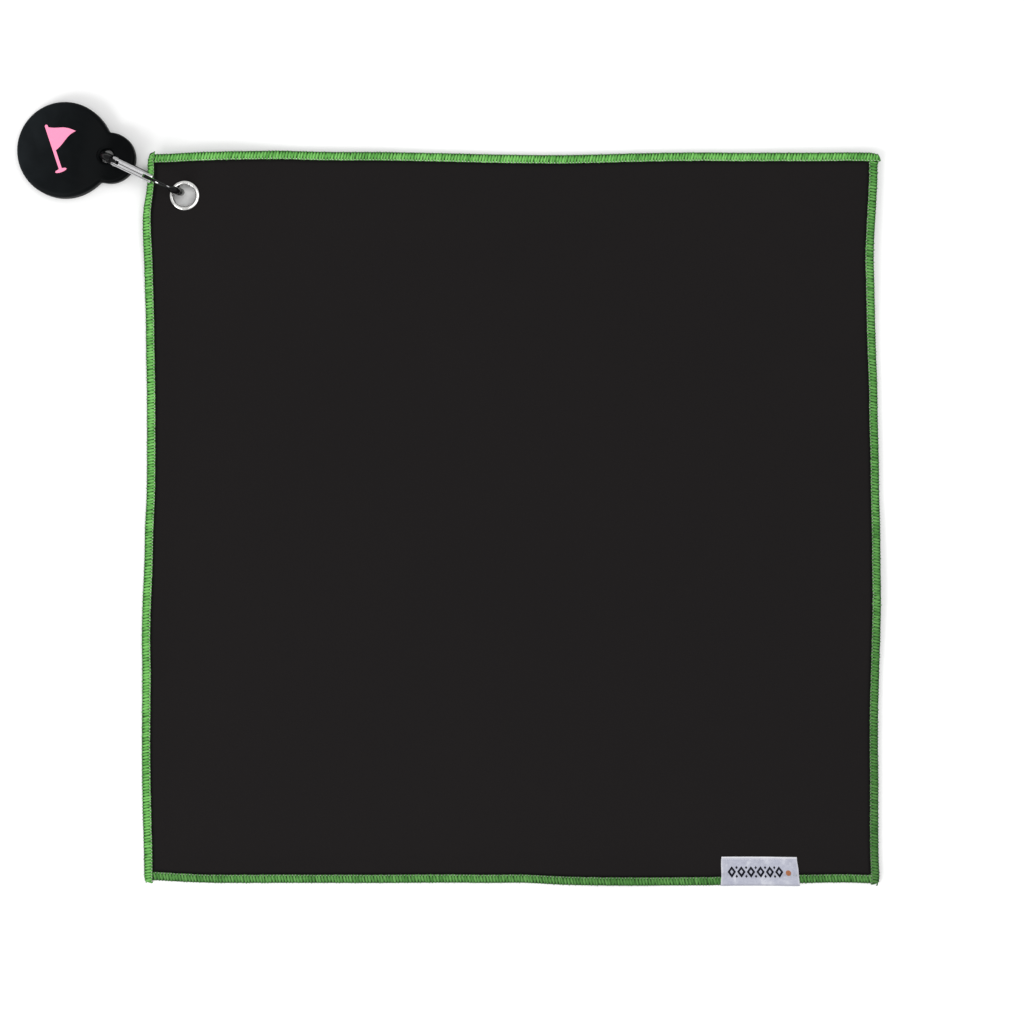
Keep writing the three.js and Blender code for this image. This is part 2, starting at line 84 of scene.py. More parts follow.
ROUND = 5.0
CORNERS = ((False, False, 0.75), (True, False, 0.5), (True, True, 0.4), (False, True, 0.25))   # at the right, at the bottom, how round


def plan(a, b):
    l, r, t, bo = left_x(b), right_x(b), top_y(a), bottom_y(a)
    ra, rb = np.zeros(np.broadcast(a, b).shape), np.zeros(np.broadcast(a, b).shape)
    for right, bottom, share in CORNERS:
        u = np.maximum(0, 1 - (W - a if right else a) / ROUND)
        v = np.maximum(0, 1 - (H - b if bottom else b) / ROUND)
        ra = ra + (-1 if right else 1) * share * ROUND * u * (1 - np.sqrt(1 - np.clip(v, 0, 1) ** 2 / 2))
        rb = rb + (-1 if bottom else 1) * share * ROUND * v * (1 - np.sqrt(1 - np.clip(u, 0, 1) ** 2 / 2))
    return l + (r - l) * (a + ra) / W, t + (bo - t) * (b + rb) / H


def step01(t):
    t = np.clip(t, 0, 1)
    return t * t * (3 - 2 * t)


def bell(x, half):
    return np.where(np.abs(x) < half, np.cos(np.pi / 2 * np.clip(x / half, -1, 1)) ** 2, 0.0)


def lift(a, b):
    a, b = np.clip(a, 0, W), np.clip(b, 0, H)
    q = {"left": a, "right": W - a, "top": b, "bottom": H - b}
    along = {"left": b, "right": b, "top": a, "bottom": a}
    near = np.minimum(np.minimum(q["left"], q["right"]), np.minimum(q["top"], q["bottom"]))
    rim = RIM_LIFT * (1 - step01((near - 4.2) / 13.5))
    lx = np.interp(a, [306, 317, 365.5, 377], [0, 1, 1, 0])
    lx = lx * lx * (3 - 2 * lx)
    lq = np.interp(q["bottom"], [0, 4.6, 7.2, 16.8, 30], [1.6, 1.6, 1.0, 0.78, 0])
    z = rim + np.maximum(0, lq - rim) * lx
    for side, c, half, height, reach in RIPPLES:
        z = z + height * bell(along[side] - c, half) * bell(q[side], reach)
    # the cloth isn't ironed: broad, very low unevenness, and small puckers where the seam draws in
    n1 = np.sin(a / 19.3 + 1.3 * np.sin(b / 31.0) + 0.4) * np.sin(b / 23.7 + 1.1 * np.sin(a / 37.0) + 1.9)
    n2 = np.sin(a / 7.3 + 0.8 * np.sin(b / 11.0) + 2.2) * np.sin(b / 8.1 + 0.7 * np.sin(a / 13.0) + 0.3)
    z = z + 0.17 * (1 + n1) + 0.035 * (1 + n2)
    for side in q:
        s = along[side]
        wave = np.sin(s / 2.35 + 1.7 * np.sin(s / 17.0) + len(side)) * np.sin(s / 29.0 + 1.1 * len(side))
        z = z + 0.10 * (1 + wave) * np.exp(-((q[side] - 8.5) / 4.6) ** 2)
    d = np.hypot(np.maximum(0, a - CORNER_A), np.maximum(0, b - CORNER_B))
    c = 1 - step01(d / CORNER_FALL)
    return z * (1 - c) + CORNER_H * c


def place(side, s, q, z):
    """World points from a rim's own coordinates: s along it, q inwards from it, z above the cloth's underside."""
    a, b = {"left": (q, s), "right": (W - q, s), "top": (s, q), "bottom": (s, H - q)}[side]
    x, y = plan(a, b)
    return np.stack([x, y, lift(a, b) + z], -1)


# ------------------------------------------------------------------ mesh helpers
def mesh_object(name, points, faces, material, smooth=True, sharp=None, turn=None, indices=None, orient=True):
    """points in mm, faces as lists of indices. The faces are turned outwards, and turn is a matrix in metres."""
    pts = np.asarray(points, float).reshape(-1, 3) * MM
    me = bpy.data.meshes.new(name)
    me.from_pydata(pts.tolist(), [], [list(map(int, f)) for f in faces])
    mats = material if isinstance(material, (list, tuple)) else [material]
    for m in mats:
        me.materials.append(m)
    if indices is not None:
        me.polygons.foreach_set("material_index", np.asarray(indices, np.int32))
    me.polygons.foreach_set("use_smooth", np.full(len(me.polygons), bool(smooth)))
    me.validate()
    if orient and volume(me) < 0:
        me.flip_normals()
    if sharp is not None:
        me.set_sharp_from_angle(angle=math.radians(sharp))
    me.update()
    obj = bpy.data.objects.new(name, me)
    if turn is not None:
        me.transform(turn)
    scene.collection.objects.link(obj)
    return obj


def volume(me):
    me.calc_loop_triangles()
    tri = np.zeros(len(me.loop_triangles) * 3, np.int32)
    me.loop_triangles.foreach_get("vertices", tri)
    co = np.zeros(len(me.vertices) * 3)
    me.vertices.foreach_get("co", co)
    p = co.reshape(-1, 3)[tri.reshape(-1, 3)]
    return float(np.einsum("ij,ij->i", p[:, 0], np.cross(p[:, 1], p[:, 2])).sum() / 6)


def attribute(obj, name, values, kind="FLOAT"):
    at = obj.data.attributes.new(name, kind, "POINT")
    at.data.foreach_set("value" if kind == "FLOAT" else "vector", np.asarray(values, np.float32).ravel())


def bake_modifiers(obj):
    dg = bpy.context.evaluated_depsgraph_get()
    me = bpy.data.meshes.new_from_object(obj.evaluated_get(dg))
    obj.modifiers.clear()
    old, name = obj.data, obj.data.name
    obj.data = me
    bpy.data.meshes.remove(old)
    me.name = name
    return obj


def boolean(obj, other, operation):
    m = obj.modifiers.new("b", "BOOLEAN")
    m.object, m.operation, m.solver = other, operation, "EXACT"
    bpy.context.view_layer.update()
    bake_modifiers(obj)
    bpy.data.objects.remove(other)
    return obj


def join(obj, *others):
    """The other pieces' shells go into obj's mesh as they are."""
    bm = bmesh.new()
    for o in (obj, *others):
        bm.from_mesh(o.data)
    bm.to_mesh(obj.data)
    bm.free()
    for o in others:
        bpy.data.objects.remove(o)
    obj.data.update()
    return obj


def smooth_by_angle(obj, degrees=35):
    me = obj.data
    me.polygons.foreach_set("use_smooth", np.full(len(me.polygons), True))
    me.set_sharp_from_angle(angle=math.radians(degrees))
    me.update()
    return obj


def bevel(obj, width, segments=2, angle=40):
    m = obj.modifiers.new("v", "BEVEL")
    m.width, m.segments, m.limit_method, m.angle_limit = width * MM, segments, "ANGLE", math.radians(angle)
    m.harden_normals = False
    bpy.context.view_layer.update()
    return bake_modifiers(obj)


def grid_faces(n, m, start=0, wrap=False):
    """Quads of a grid of n rows and m columns, the columns closed to a ring where wrap is set."""
    i, j = np.meshgrid(np.arange(n - 1), np.arange(m if wrap else m - 1), indexing="ij")
    k = (j + 1) % m
    p = start + i * m + j
    return np.stack([p, start + i * m + k, start + (i + 1) * m + k, start + (i + 1) * m + j], -1).reshape(-1, 4)


def tubes(centres, sideways, upwards, sides, cap=True):
    """Many tubes at once. centres (n, m, 3); sideways and upwards (n, m, 3) are the half widths as vectors.
    Returns points (n*m*sides, 3) and faces."""
    n, m, _ = centres.shape
    th = (np.arange(sides) / sides * 2 - 0.5) * np.pi
    pts = centres[:, :, None] + sideways[:, :, None] * np.cos(th)[None, None, :, None] + upwards[:, :, None] * np.sin(th)[None, None, :, None]
    one = grid_faces(m, sides, wrap=True)
    faces = (one[None] + (np.arange(n) * m * sides)[:, None, None]).reshape(-1, 4).tolist()
    if cap:
        first = np.arange(sides)
        for k in range(n):
            base = k * m * sides
            faces.append((base + first).tolist())
            faces.append((base + (m - 1) * sides + first[::-1]).tolist())
    return pts.reshape(-1, 3), faces


# ------------------------------------------------------------------ material helpers
class Nodes:
    """A material being built; every value that varies over the surface comes from nodes."""

    def __init__(self, name):
        self.mat = bpy.data.materials.new(name)
        self.mat.use_nodes = True
        self.t = self.mat.node_tree
        self.t.nodes.clear()
        self.out = self.t.nodes.new("ShaderNodeOutputMaterial")
        self.b = self.t.nodes.new("ShaderNodeBsdfPrincipled")
        self.t.links.new(self.b.outputs[0], self.out.inputs[0])
        self.coord = self.t.nodes.new("ShaderNodeTexCoord").outputs["Object"]

    def set(self, **values):
        for k, v in values.items():
            name = k.replace("_", " ")
            socket = self.b.inputs[name]
            if isinstance(v, bpy.types.NodeSocket):
                self.t.links.new(v, socket)
            else:
                socket.default_value = (*v, 1.0) if isinstance(v, tuple) and len(v) == 3 else v
        return self

    def node(self, kind, inputs=None, **props):
        n = self.t.nodes.new(kind)
        for k, v in props.items():
            setattr(n, k, v)
        for k, v in (inputs or {}).items():
            s = n.inputs[k]
            if isinstance(v, bpy.types.NodeSocket):
                self.t.links.new(v, s)
            else:
                s.default_value = v
        return n

    def noise(self, scale, detail=2.0, rough=0.5, vector=None, distortion=0.0):
        return self.node("ShaderNodeTexNoise", {"Vector": vector or self.coord, "Scale": scale, "Detail": detail, "Roughness": rough, "Distortion": distortion}).outputs["Fac"]

    def voronoi(self, scale, vector=None, feature="F1"):
        return self.node("ShaderNodeTexVoronoi", {"Vector": vector or self.coord, "Scale": scale}, feature=feature).outputs["Distance"]

    def math(self, op, a, b=None, c=None, clamp=False):
        n = self.node("ShaderNodeMath", operation=op, use_clamp=clamp)
        for i, v in enumerate((a, b, c)):
            if v is None:
                continue
            if isinstance(v, bpy.types.NodeSocket):
                self.t.links.new(v, n.inputs[i])
            else:
                n.inputs[i].default_value = v
        return n.outputs[0]

    def range(self, v, lo, hi, to_lo=0.0, to_hi=1.0):
        return self.node("ShaderNodeMapRange", {"Value": v, "From Min": lo, "From Max": hi, "To Min": to_lo, "To Max": to_hi}, clamp=True).outputs["Result"]

    def ramp(self, fac, stops):
        n = self.node("ShaderNodeValToRGB", {"Fac": fac})
        e = n.color_ramp.elements
        while len(e) > 1:
            e.remove(e[-1])
        e[0].position, e[0].color = stops[0][0], (*stops[0][1], 1)
        for pos, col in stops[1:]:
            x = e.new(pos)
            x.color = (*col, 1)
        return n.outputs["Color"]

    def mix(self, fac, a, b, blend="MIX"):
        n = self.node("ShaderNodeMix", data_type="RGBA", blend_type=blend)
        for i, v in ((0, fac), (6, a), (7, b)):
            if isinstance(v, bpy.types.NodeSocket):
                self.t.links.new(v, n.inputs[i])
            elif i == 0:
                n.inputs[i].default_value = v
            else:
                n.inputs[i].default_value = (*v, 1)
        return n.outputs[2]

    def split(self, vector):
        n = self.node("ShaderNodeSeparateXYZ", {"Vector": vector})
        return n.outputs[0], n.outputs[1], n.outputs[2]

    def attr(self, name):
        n = self.node("ShaderNodeAttribute", attribute_name=name, attribute_type="GEOMETRY")
        return n

    def frame_of(self, yaw, scale, origin=(0, 0, 0)):
        """Object coordinates turned by -yaw degrees about Z and then stretched."""
        return self.node("ShaderNodeMapping", {"Vector": self.coord, "Location": origin, "Rotation": (0, 0, math.radians(yaw)), "Scale": tuple(1 / s for s in scale)}, vector_type="TEXTURE").outputs[0]

    def bump(self, height, distance, strength=1.0, after=None):
        ins = {"Height": height, "Distance": distance, "Strength": strength}
        if after is not None:
            ins["Normal"] = after
        return self.node("ShaderNodeBump", ins).outputs[0]


def make_cloth():
    m = Nodes("microfibre_black")
    pile = m.noise(1500, 3.0, 0.6)
    nub = m.voronoi(1150)
    nap = m.noise(38, 3.0, 0.55, distortion=0.6)
    patch = m.noise(9, 2.0, 0.5)
    col = m.ramp(pile, [(0.25, (0.0047, 0.0041, 0.0041)), (0.75, (0.0079, 0.0066, 0.0066))])
    col = m.mix(m.range(nap, 0.3, 0.7, 0.0, 0.28), col, (0.0089, 0.0076, 0.0076))
    col = m.mix(m.range(patch, 0.35, 0.65, 0.0, 0.16), col, (0.0047, 0.0042, 0.0044))
    # painted shade: the cloth is painted near-black along the needle line, where the thread draws it down
    col = m.mix(m.math("MULTIPLY", m.attr("seam").outputs["Fac"], 0.85), col, (0.0006, 0.0006, 0.0006))
    rough = m.range(m.math("ADD", pile, m.math("MULTIPLY", nap, 0.5)), 0.4, 1.1, 0.86, 0.98)
    n1 = m.bump(nub, 0.00018, 0.35)
    n2 = m.bump(pile, 0.00022, 0.45, n1)
    n3 = m.bump(nap, 0.0006, 0.18, n2)
    m.set(Base_Color=col, Roughness=rough, Normal=n3, Sheen_Weight=0.10, Sheen_Roughness=0.55, Sheen_Tint=(0.62, 0.56, 0.60), Specular_IOR_Level=0.12)
    return m.mat


def make_thread(name, dark, mid, pale, shade=1.0):
    """Woolly three-ply thread. The attribute 'tone' holds each strand's tone, with painted shade in it, 'fibre' its
    angle, its length and the painted shade of its side.
    """
    m = Nodes(name)
    tone = m.attr("tone").outputs["Fac"]
    ang, length, painted_run_shade = m.split(m.attr("fibre").outputs["Vector"])
    ply = m.math("SINE", m.math("MULTIPLY", m.math("ADD", m.math("MULTIPLY", ang, 3.0), m.math("MULTIPLY", length, 1.15)), 6.28318))
    fuzz = m.noise(3200, 3.0, 0.65)
    soft = m.noise(1100, 2.0, 0.55)
    mixed = m.math("ADD", m.math("MULTIPLY", tone, 0.80), m.math("ADD", m.math("MULTIPLY", fuzz, 0.16), m.math("ADD", m.math("MULTIPLY", ply, 0.05), m.math("SUBTRACT", m.math("MULTIPLY", soft, 0.42), 0.16))))
    s = shade
    col = m.ramp(mixed, [(0.16, tuple(c * s for c in dark)), (0.62, tuple(c * s for c in mid)), (1.0, tuple(c * s for c in pale))])
    # painted shade: the colour is darkened by the third number of fibre, the painted shade of the thread's side
    col = m.mix(1.0, col, painted_run_shade, "MULTIPLY")
    rough = m.range(fuzz, 0.3, 0.7, 0.68, 0.86)
    n = m.bump(ply, 0.00010, 0.8)
    n = m.bump(fuzz, 0.00012, 0.5, n)
    m.set(Base_Color=col, Roughness=rough, Normal=n, Sheen_Weight=0.25, Sheen_Roughness=0.45, Sheen_Tint=tuple(min(1.0, c * 2.2) for c in pale), Specular_IOR_Level=0.25)
    return m.mat


def make_gap_shade_core():
    m = Nodes("thread_core_gap_shade")
    f = m.noise(1500, 3.0, 0.6)
    # painted shade: the core is a near-black green that stands for the shade in the gaps between the strands
    m.set(Base_Color=m.ramp(f, [(0.3, (0.006, 0.022, 0.005)), (0.7, (0.018, 0.060, 0.014))]), Roughness=m.range(f, 0.3, 0.7, 0.8, 0.95), Normal=m.bump(f, 0.0002, 0.8), Specular_IOR_Level=0.1)
    return m.mat


def make_label():
    m = Nodes("label_tape")
    x, y, z = m.split(m.coord)
    run = m.attr("fibre").outputs["Vector"]
    across, along, fold_shade = m.split(run)
    warp = m.math("SINE", m.math("MULTIPLY", across, 2 * math.pi / 0.46))
    weft = m.math("SINE", m.math("MULTIPLY", along, 2 * math.pi / 0.40))
    weave = m.math("MULTIPLY", warp, weft)
    slub = m.noise(700, 3.0, 0.6)
    worn = m.noise(120, 3.0, 0.55, distortion=0.4)
    col = m.ramp(m.math("ADD", m.math("MULTIPLY", weave, 0.10), m.math("MULTIPLY", slub, 0.9)), [(0.25, (0.30, 0.31, 0.39)), (0.75, (0.43, 0.44, 0.51))])
    col = m.mix(m.range(worn, 0.35, 0.7, 0.0, 0.35), col, (0.50, 0.51, 0.56))
    tone = m.attr("tone").outputs["Fac"]
    col = m.mix(m.range(worn, 0.56, 0.70, 0.0, 0.55), col, (0.64, 0.65, 0.70))
    # painted highlight: tone lightens the tape along its hem and its two cut sides
    col = m.mix(tone, col, (0.66, 0.66, 0.69))
    # painted shade: the tape is painted darker along its fold round the rim
    col = m.mix(m.math("MULTIPLY", fold_shade, 0.55), col, (0.20, 0.20, 0.24))
    n = m.bump(weave, 0.00006, 0.55)
    n = m.bump(slub, 0.00016, 0.35, n)
    m.set(Base_Color=col, Roughness=m.range(slub, 0.3, 0.7, 0.5, 0.7), Normal=n, Sheen_Weight=0.15, Sheen_Roughness=0.4, Specular_IOR_Level=0.35)
    return m.mat


def make_satin_stitch(name, low, high):
    m = Nodes(name)
    x, y, z = m.split(m.coord)
    rows = m.math("SINE", m.math("MULTIPLY", x, 2 * math.pi / 0.00042))
    f = m.noise(1800, 2.0, 0.6)
    col = m.ramp(m.math("ADD", f, m.math("MULTIPLY", rows, 0.12)), [(0.3, low), (0.75, high)])
    m.set(Base_Color=col, Roughness=m.range(f, 0.3, 0.7, 0.5, 0.7), Normal=m.bump(rows, 0.00006, 0.7), Specular_IOR_Level=0.12)
    return m.mat


def make_nickel():
    m = Nodes("nickel_plate")
    smear = m.noise(240, 3.0, 0.6, distortion=0.5)
    pits = m.noise(2600, 3.0, 0.7)
    scratch = m.noise(1.0, 2.0, 0.5, vector=m.frame_of(34, (300, 5200, 3000)))
    col = m.ramp(smear, [(0.3, (0.72, 0.71, 0.69)), (0.7, (0.86, 0.86, 0.85))])
    rough = m.math("ADD", m.range(smear, 0.3, 0.7, 0.10, 0.22), m.range(scratch, 0.6, 0.75, 0.0, 0.14))
    n = m.bump(pits, 0.00002, 0.35)
    n = m.bump(scratch, 0.00003, 0.25, n)
    m.set(Base_Color=col, Metallic=1.0, Roughness=rough, Normal=n)
    return m.mat


CARA_YAW = -26.0


def make_black():
    m = Nodes("anodised_black")
    f = m.noise(420, 3.0, 0.6)
    fine = m.noise(4200, 2.0, 0.6)
    rub = m.noise(150, 4.0, 0.65, distortion=0.8)
    worn = m.range(rub, 0.66, 0.74, 0.0, 0.5)
    col = m.mix(worn, m.ramp(f, [(0.3, (0.0030, 0.0030, 0.0034)), (0.7, (0.0052, 0.0052, 0.0058))]), (0.020, 0.020, 0.022))
    # two short painted highlights on the blade, drawn as spots of bright bare metal
    painted_glint = None
    for at in ((-0.1941, 0.18304, 0), (-0.1879, 0.18106, 0)):
        far = m.node("ShaderNodeVectorMath", {"Vector": m.frame_of(CARA_YAW, (1180, 3300, 1), at)}, operation="LENGTH").outputs["Value"]
        ragged = m.math("ADD", far, m.math("MULTIPLY", m.math("SUBTRACT", fine, 0.5), 0.9))
        one = m.range(ragged, 0.75, 1.15, 1.0, 0.0)
        painted_glint = one if painted_glint is None else m.math("MAXIMUM", painted_glint, one)
    _, _, height = m.split(m.coord)
    painted_glint = m.math("MULTIPLY", painted_glint, m.range(height, 0.0205, 0.0212, 0.0, 0.9))
    col = m.mix(painted_glint, col, (0.62, 0.62, 0.63))
    m.set(Base_Color=col, Metallic=painted_glint, Roughness=m.math("ADD", m.range(fine, 0.3, 0.7, 0.13, 0.21), m.math("MULTIPLY", worn, 0.12)), Normal=m.bump(fine, 0.00002, 0.4), Specular_IOR_Level=0.14)
    return m.mat


def make_gate_metal(yaw):
    m = Nodes("gate_metal")
    brush = m.noise(1.0, 3.0, 0.6, vector=m.frame_of(yaw, (120, 7000, 7000)))
    smear = m.noise(180, 3.0, 0.55, distortion=0.4)
    nick = m.noise(900, 2.0, 0.5)
    col = m.ramp(m.math("ADD", m.math("MULTIPLY", brush, 0.6), m.math("MULTIPLY", smear, 0.4)), [(0.3, (0.44, 0.44, 0.45)), (0.7, (0.61, 0.61, 0.62))])
    col = m.mix(m.range(nick, 0.70, 0.78, 0.0, 0.5), col, (0.42, 0.42, 0.44))
    m.set(Base_Color=col, Metallic=1.0, Roughness=m.range(brush, 0.3, 0.7, 0.20, 0.38), Normal=m.bump(brush, 0.00003, 0.5))
    return m.mat


def make_silicone():
    m = Nodes("silicone_black")
    fine = m.noise(5200, 2.0, 0.55)
    smear = m.noise(70, 4.0, 0.6, distortion=0.7)
    dust = m.noise(1400, 2.0, 0.5)
    col = m.ramp(smear, [(0.3, (0.0034, 0.0043, 0.0049)), (0.7, (0.0058, 0.0072, 0.0082))])
    # painted light: the colour is multiplied by a gradient, lighter at the disc's far end and darker round the eye
    col = m.mix(1.0, col, m.attr("painted_light_gradient").outputs["Fac"], "MULTIPLY")
    col = m.mix(m.range(dust, 0.735, 0.79, 0.0, 0.30), col, (0.03, 0.032, 0.034))
    m.set(Base_Color=col, Roughness=m.range(smear, 0.3, 0.7, 0.40, 0.52), Normal=m.bump(fine, 0.000025, 0.5), Specular_IOR_Level=0.04)
    return m.mat


def make_print():
    m = Nodes("print_pink")
    f = m.noise(2400, 3.0, 0.6)
    worn = m.noise(420, 4.0, 0.7, distortion=0.5)
    col = m.ramp(f, [(0.3, (0.95, 0.255, 0.43)), (0.7, (1.0, 0.30, 0.485))])
    col = m.mix(m.range(worn, 0.68, 0.76, 0.0, 0.3), col, (0.62, 0.20, 0.36))
    m.set(Base_Color=col, Roughness=m.range(worn, 0.3, 0.7, 0.42, 0.6), Normal=m.bump(f, 0.00003, 0.4), Specular_IOR_Level=0.35)
    return m.mat


def make_floor():
    m = Nodes("table_white")
    f = m.noise(3, 2.0, 0.5)
    m.set(Base_Color=m.ramp(f, [(0.3, (0.90, 0.90, 0.90)), (0.7, (0.91, 0.91, 0.91))]), Roughness=m.range(f, 0.3, 0.7, 0.75, 0.85), Specular_IOR_Level=0.1)
    return m.mat


GREEN_DARK, GREEN_MID, GREEN_PALE = (0.006, 0.042, 0.005), (0.078, 0.315, 0.050), (0.205, 0.560, 0.135)
cloth_mat = make_cloth()
gap_shade_core_mat = make_gap_shade_core()
thread_mat = make_thread("overlock_thread", GREEN_DARK, GREEN_MID, GREEN_PALE)
needle_mat = make_thread("needle_thread", (0.14, 0.26, 0.11), (0.42, 0.60, 0.36), (0.62, 0.76, 0.55))
label_mat = make_label()
navy_mat = make_satin_stitch("woven_navy", (0.0018, 0.0022, 0.006), (0.0052, 0.006, 0.014))
copper_mat = make_satin_stitch("woven_copper", (0.26, 0.095, 0.04), (0.42, 0.17, 0.085))
nickel_mat, black_mat, gate_mat = make_nickel(), make_black(), make_gate_metal(CARA_YAW)
# painted shade: a near-black copy of the gate metal for the two seam strips, standing for the shade in the grooves
groove_shade_mat = make_gate_metal(CARA_YAW)
groove_shade_mat.name = "gate_groove_shade"
for n in groove_shade_mat.node_tree.nodes:
    if n.bl_idname == "ShaderNodeValToRGB":
        n.color_ramp.elements[0].color, n.color_ramp.elements[1].color = (0.02, 0.02, 0.02, 1), (0.06, 0.06, 0.06, 1)
silicone_mat, print_mat, floor_mat = make_silicone(), make_print(), make_floor()


# ------------------------------------------------------------------ the cloth
def cloth_lines(near_corner):
    rim = [0.75, 1.6, 2.8, 3.9, 4.6, 5.1, 5.7, 6.5, 7.6, 9.0, 10.8, 12.8]
    far = [W - v for v in reversed(rim)]
    if near_corner:
        return np.array(rim + list(np.arange(14.15, near_corner, 1.35)) + list(np.linspace(near_corner + 1.6, W - 15.4, 130)) + far)
    return np.array(rim + list(np.linspace(15.4, W - 15.4, 148)) + far)


def build_cloth():
    al, bl = cloth_lines(50.0), cloth_lines(50.0)
    A, B = np.meshgrid(al, bl, indexing="xy")
    x, y = plan(A, B)
    # rounded corners under the thread
    z = lift(A, B)
    near = np.minimum(np.minimum(A, W - A), np.minimum(B, H - B))
    r = np.hypot(x - EYELET[0], y - EYELET[1])
    hole = 7.1
    inside = r < hole
    cells = ~(inside[:-1, :-1] | inside[1:, :-1] | inside[:-1, 1:] | inside[1:, 1:])
    n, m = A.shape
    idx = np.arange(n * m).reshape(n, m)
    quads = np.stack([idx[:-1, :-1], idx[1:, :-1], idx[1:, 1:], idx[:-1, 1:]], -1)[cells]
    # the ring of points next to the opening is drawn onto its circle
    used = np.zeros(n * m, bool)
    used[quads.ravel()] = True
    count = np.zeros(n * m, int)
    np.add.at(count, quads.ravel(), 1)
    rr = r.ravel()
    ring = used & (count < 4) & (rr < 14)
    dx, dy = x.ravel() - EYELET[0], y.ravel() - EYELET[1]
    x, y = x.ravel().copy(), y.ravel().copy()
    x[ring] = EYELET[0] + dx[ring] / rr[ring] * hole
    y[ring] = EYELET[1] + dy[ring] / rr[ring] * hole
    z, nr = z.ravel(), near.ravel()
    # the top is drawn down by the needle thread, and swells a little round the eyelet's flange
    top = z + T - 0.38 * np.exp(-((nr - 5.15) / 0.75) ** 2) + 0.22 * np.exp(-((rr - 9.6) / 1.1) ** 2)
    low = z + 0.10 * np.exp(-((nr - 5.15) / 0.75) ** 2)
    keep = np.where(used)[0]
    new = -np.ones(n * m, int)
    new[keep] = np.arange(len(keep))
    k = len(keep)
    pts = np.concatenate([np.stack([x, y, top], -1)[keep], np.stack([x, y, low], -1)[keep]])
    qt = new[quads]
    edges = {}
    for f in qt.tolist():
        for i in range(4):
            e = (f[i], f[(i + 1) % 4])
            if (e[1], e[0]) in edges:
                del edges[(e[1], e[0])]
            else:
                edges[e] = True
    walls = [[v, u, u + k, v + k] for u, v in edges]
    faces = qt.tolist() + [[q[0] + k, q[3] + k, q[2] + k, q[1] + k] for q in qt.tolist()] + walls
    obj = mesh_object("towel_cloth_sheet", pts, faces, cloth_mat)
    # the seam attribute carries the painted shade beside the thread
    attribute(obj, "seam", np.tile(np.exp(-(np.maximum(0, nr[keep] - 5.0) / 0.95) ** 2), 2))
    return obj


cloth = build_cloth()

# ------------------------------------------------------------------ the overlocked rim
PITCH = 1.72
rng = np.random.default_rng(11)


def drawn_in(side, s, q):
    """The left run is narrower near the top corner, where the fabric is drawn in."""
    if side != "left":
        return q
    f = np.interp(s, [0, 12, 30, 48], [0.70, 0.74, 0.88, 1.0])
    return np.where(q > 0.3, 0.3 + (q - 0.3) * f, q)


def strand_set(side, s_in, s_out, path, wide, thick, tone, sides, jitter=0.085):
    """Strands of thread that cross the rim. path holds (share of the way from s_in to s_out, q, z, width factor, tone
    factor); the tone factor is painted shade, darker where the strand dips and turns round the rim.
    """
    n, m = len(s_in), len(path)
    path = np.array(path, float)
    j = lambda size: rng.normal(0, size, (n, 1))
    reach = j(0.10)
    s = s_in[:, None] + (s_out - s_in)[:, None] * path[None, :, 0] + j(jitter) + j(jitter * 0.6) * path[None, :, 0]
    q = path[None, :, 1] + reach * np.clip((path[None, :, 1] - 2.3) / -2.3, -1, 1)
    z = path[None, :, 2] + j(0.035) * (path[None, :, 2] > 1.0)
    dq, dz = np.gradient(q, axis=1), np.gradient(z, axis=1)
    ln = np.hypot(dq, dz) + 1e-9
    nq, nz = -dz / ln, dq / ln
    wr = wide * path[None, :, 3] * (1 + j(0.06))
    hr = thick * (0.65 + 0.35 * path[None, :, 3]) * (1 + j(0.05))
    th = (np.arange(sides) / sides * 2 - 0.5) * np.pi
    S = s[:, :, None] + wr[:, :, None] * np.cos(th)
    Q = q[:, :, None] - hr[:, :, None] * np.sin(th) * nq[:, :, None]
    Z = z[:, :, None] - hr[:, :, None] * np.sin(th) * nz[:, :, None]
    pts = place(side, S, drawn_in(side, S, Q), Z).reshape(-1, 3)
    one = grid_faces(m, sides, wrap=True)
    faces = (one[None] + (np.arange(n) * m * sides)[:, None, None]).reshape(-1, 4).tolist()
    first = np.arange(sides)
    for k in range(n):
        base = k * m * sides
        faces.append((base + first[::-1]).tolist())
        faces.append((base + (m - 1) * sides + first).tolist())
    length = np.concatenate([np.zeros((n, 1)), np.cumsum(np.hypot(np.hypot(np.diff(q), np.diff(z)), np.diff(s)), 1)], 1)
    # a strand changes tone along its length, as its plies come up and go down, and takes the painted shade of its path
    drift = j(0.14) * np.sin(np.linspace(0, 8, m)[None, :] + 6.28 * rng.random((n, 1)))
    shade = tone[:, None] * path[None, :, 4] * (1 + drift)
    # painted shade: the flanks of a strand are painted darker than its top
    flank_shade = 0.80 + 0.20 * np.sin(th)
    tones = (shade[:, :, None] * flank_shade).ravel()
    fibre = np.stack(np.broadcast_arrays((np.arange(sides) / sides)[None, None, :], length[:, :, None], rng.random((n, 1, 1))), -1).reshape(-1, 3)
    return pts, faces, tones, fibre


def merge(parts):
    pts, faces, tones, fibres, mats, base = [], [], [], [], [], 0
    for p, f, t, fi, mi in parts:
        pts.append(p)
        faces += [[v + base for v in face] for face in f]
        tones.append(t)
        fibres.append(fi)
        mats += [mi] * len(f)
        base += len(p)
    return np.concatenate(pts), faces, np.concatenate(tones), np.concatenate(fibres), mats


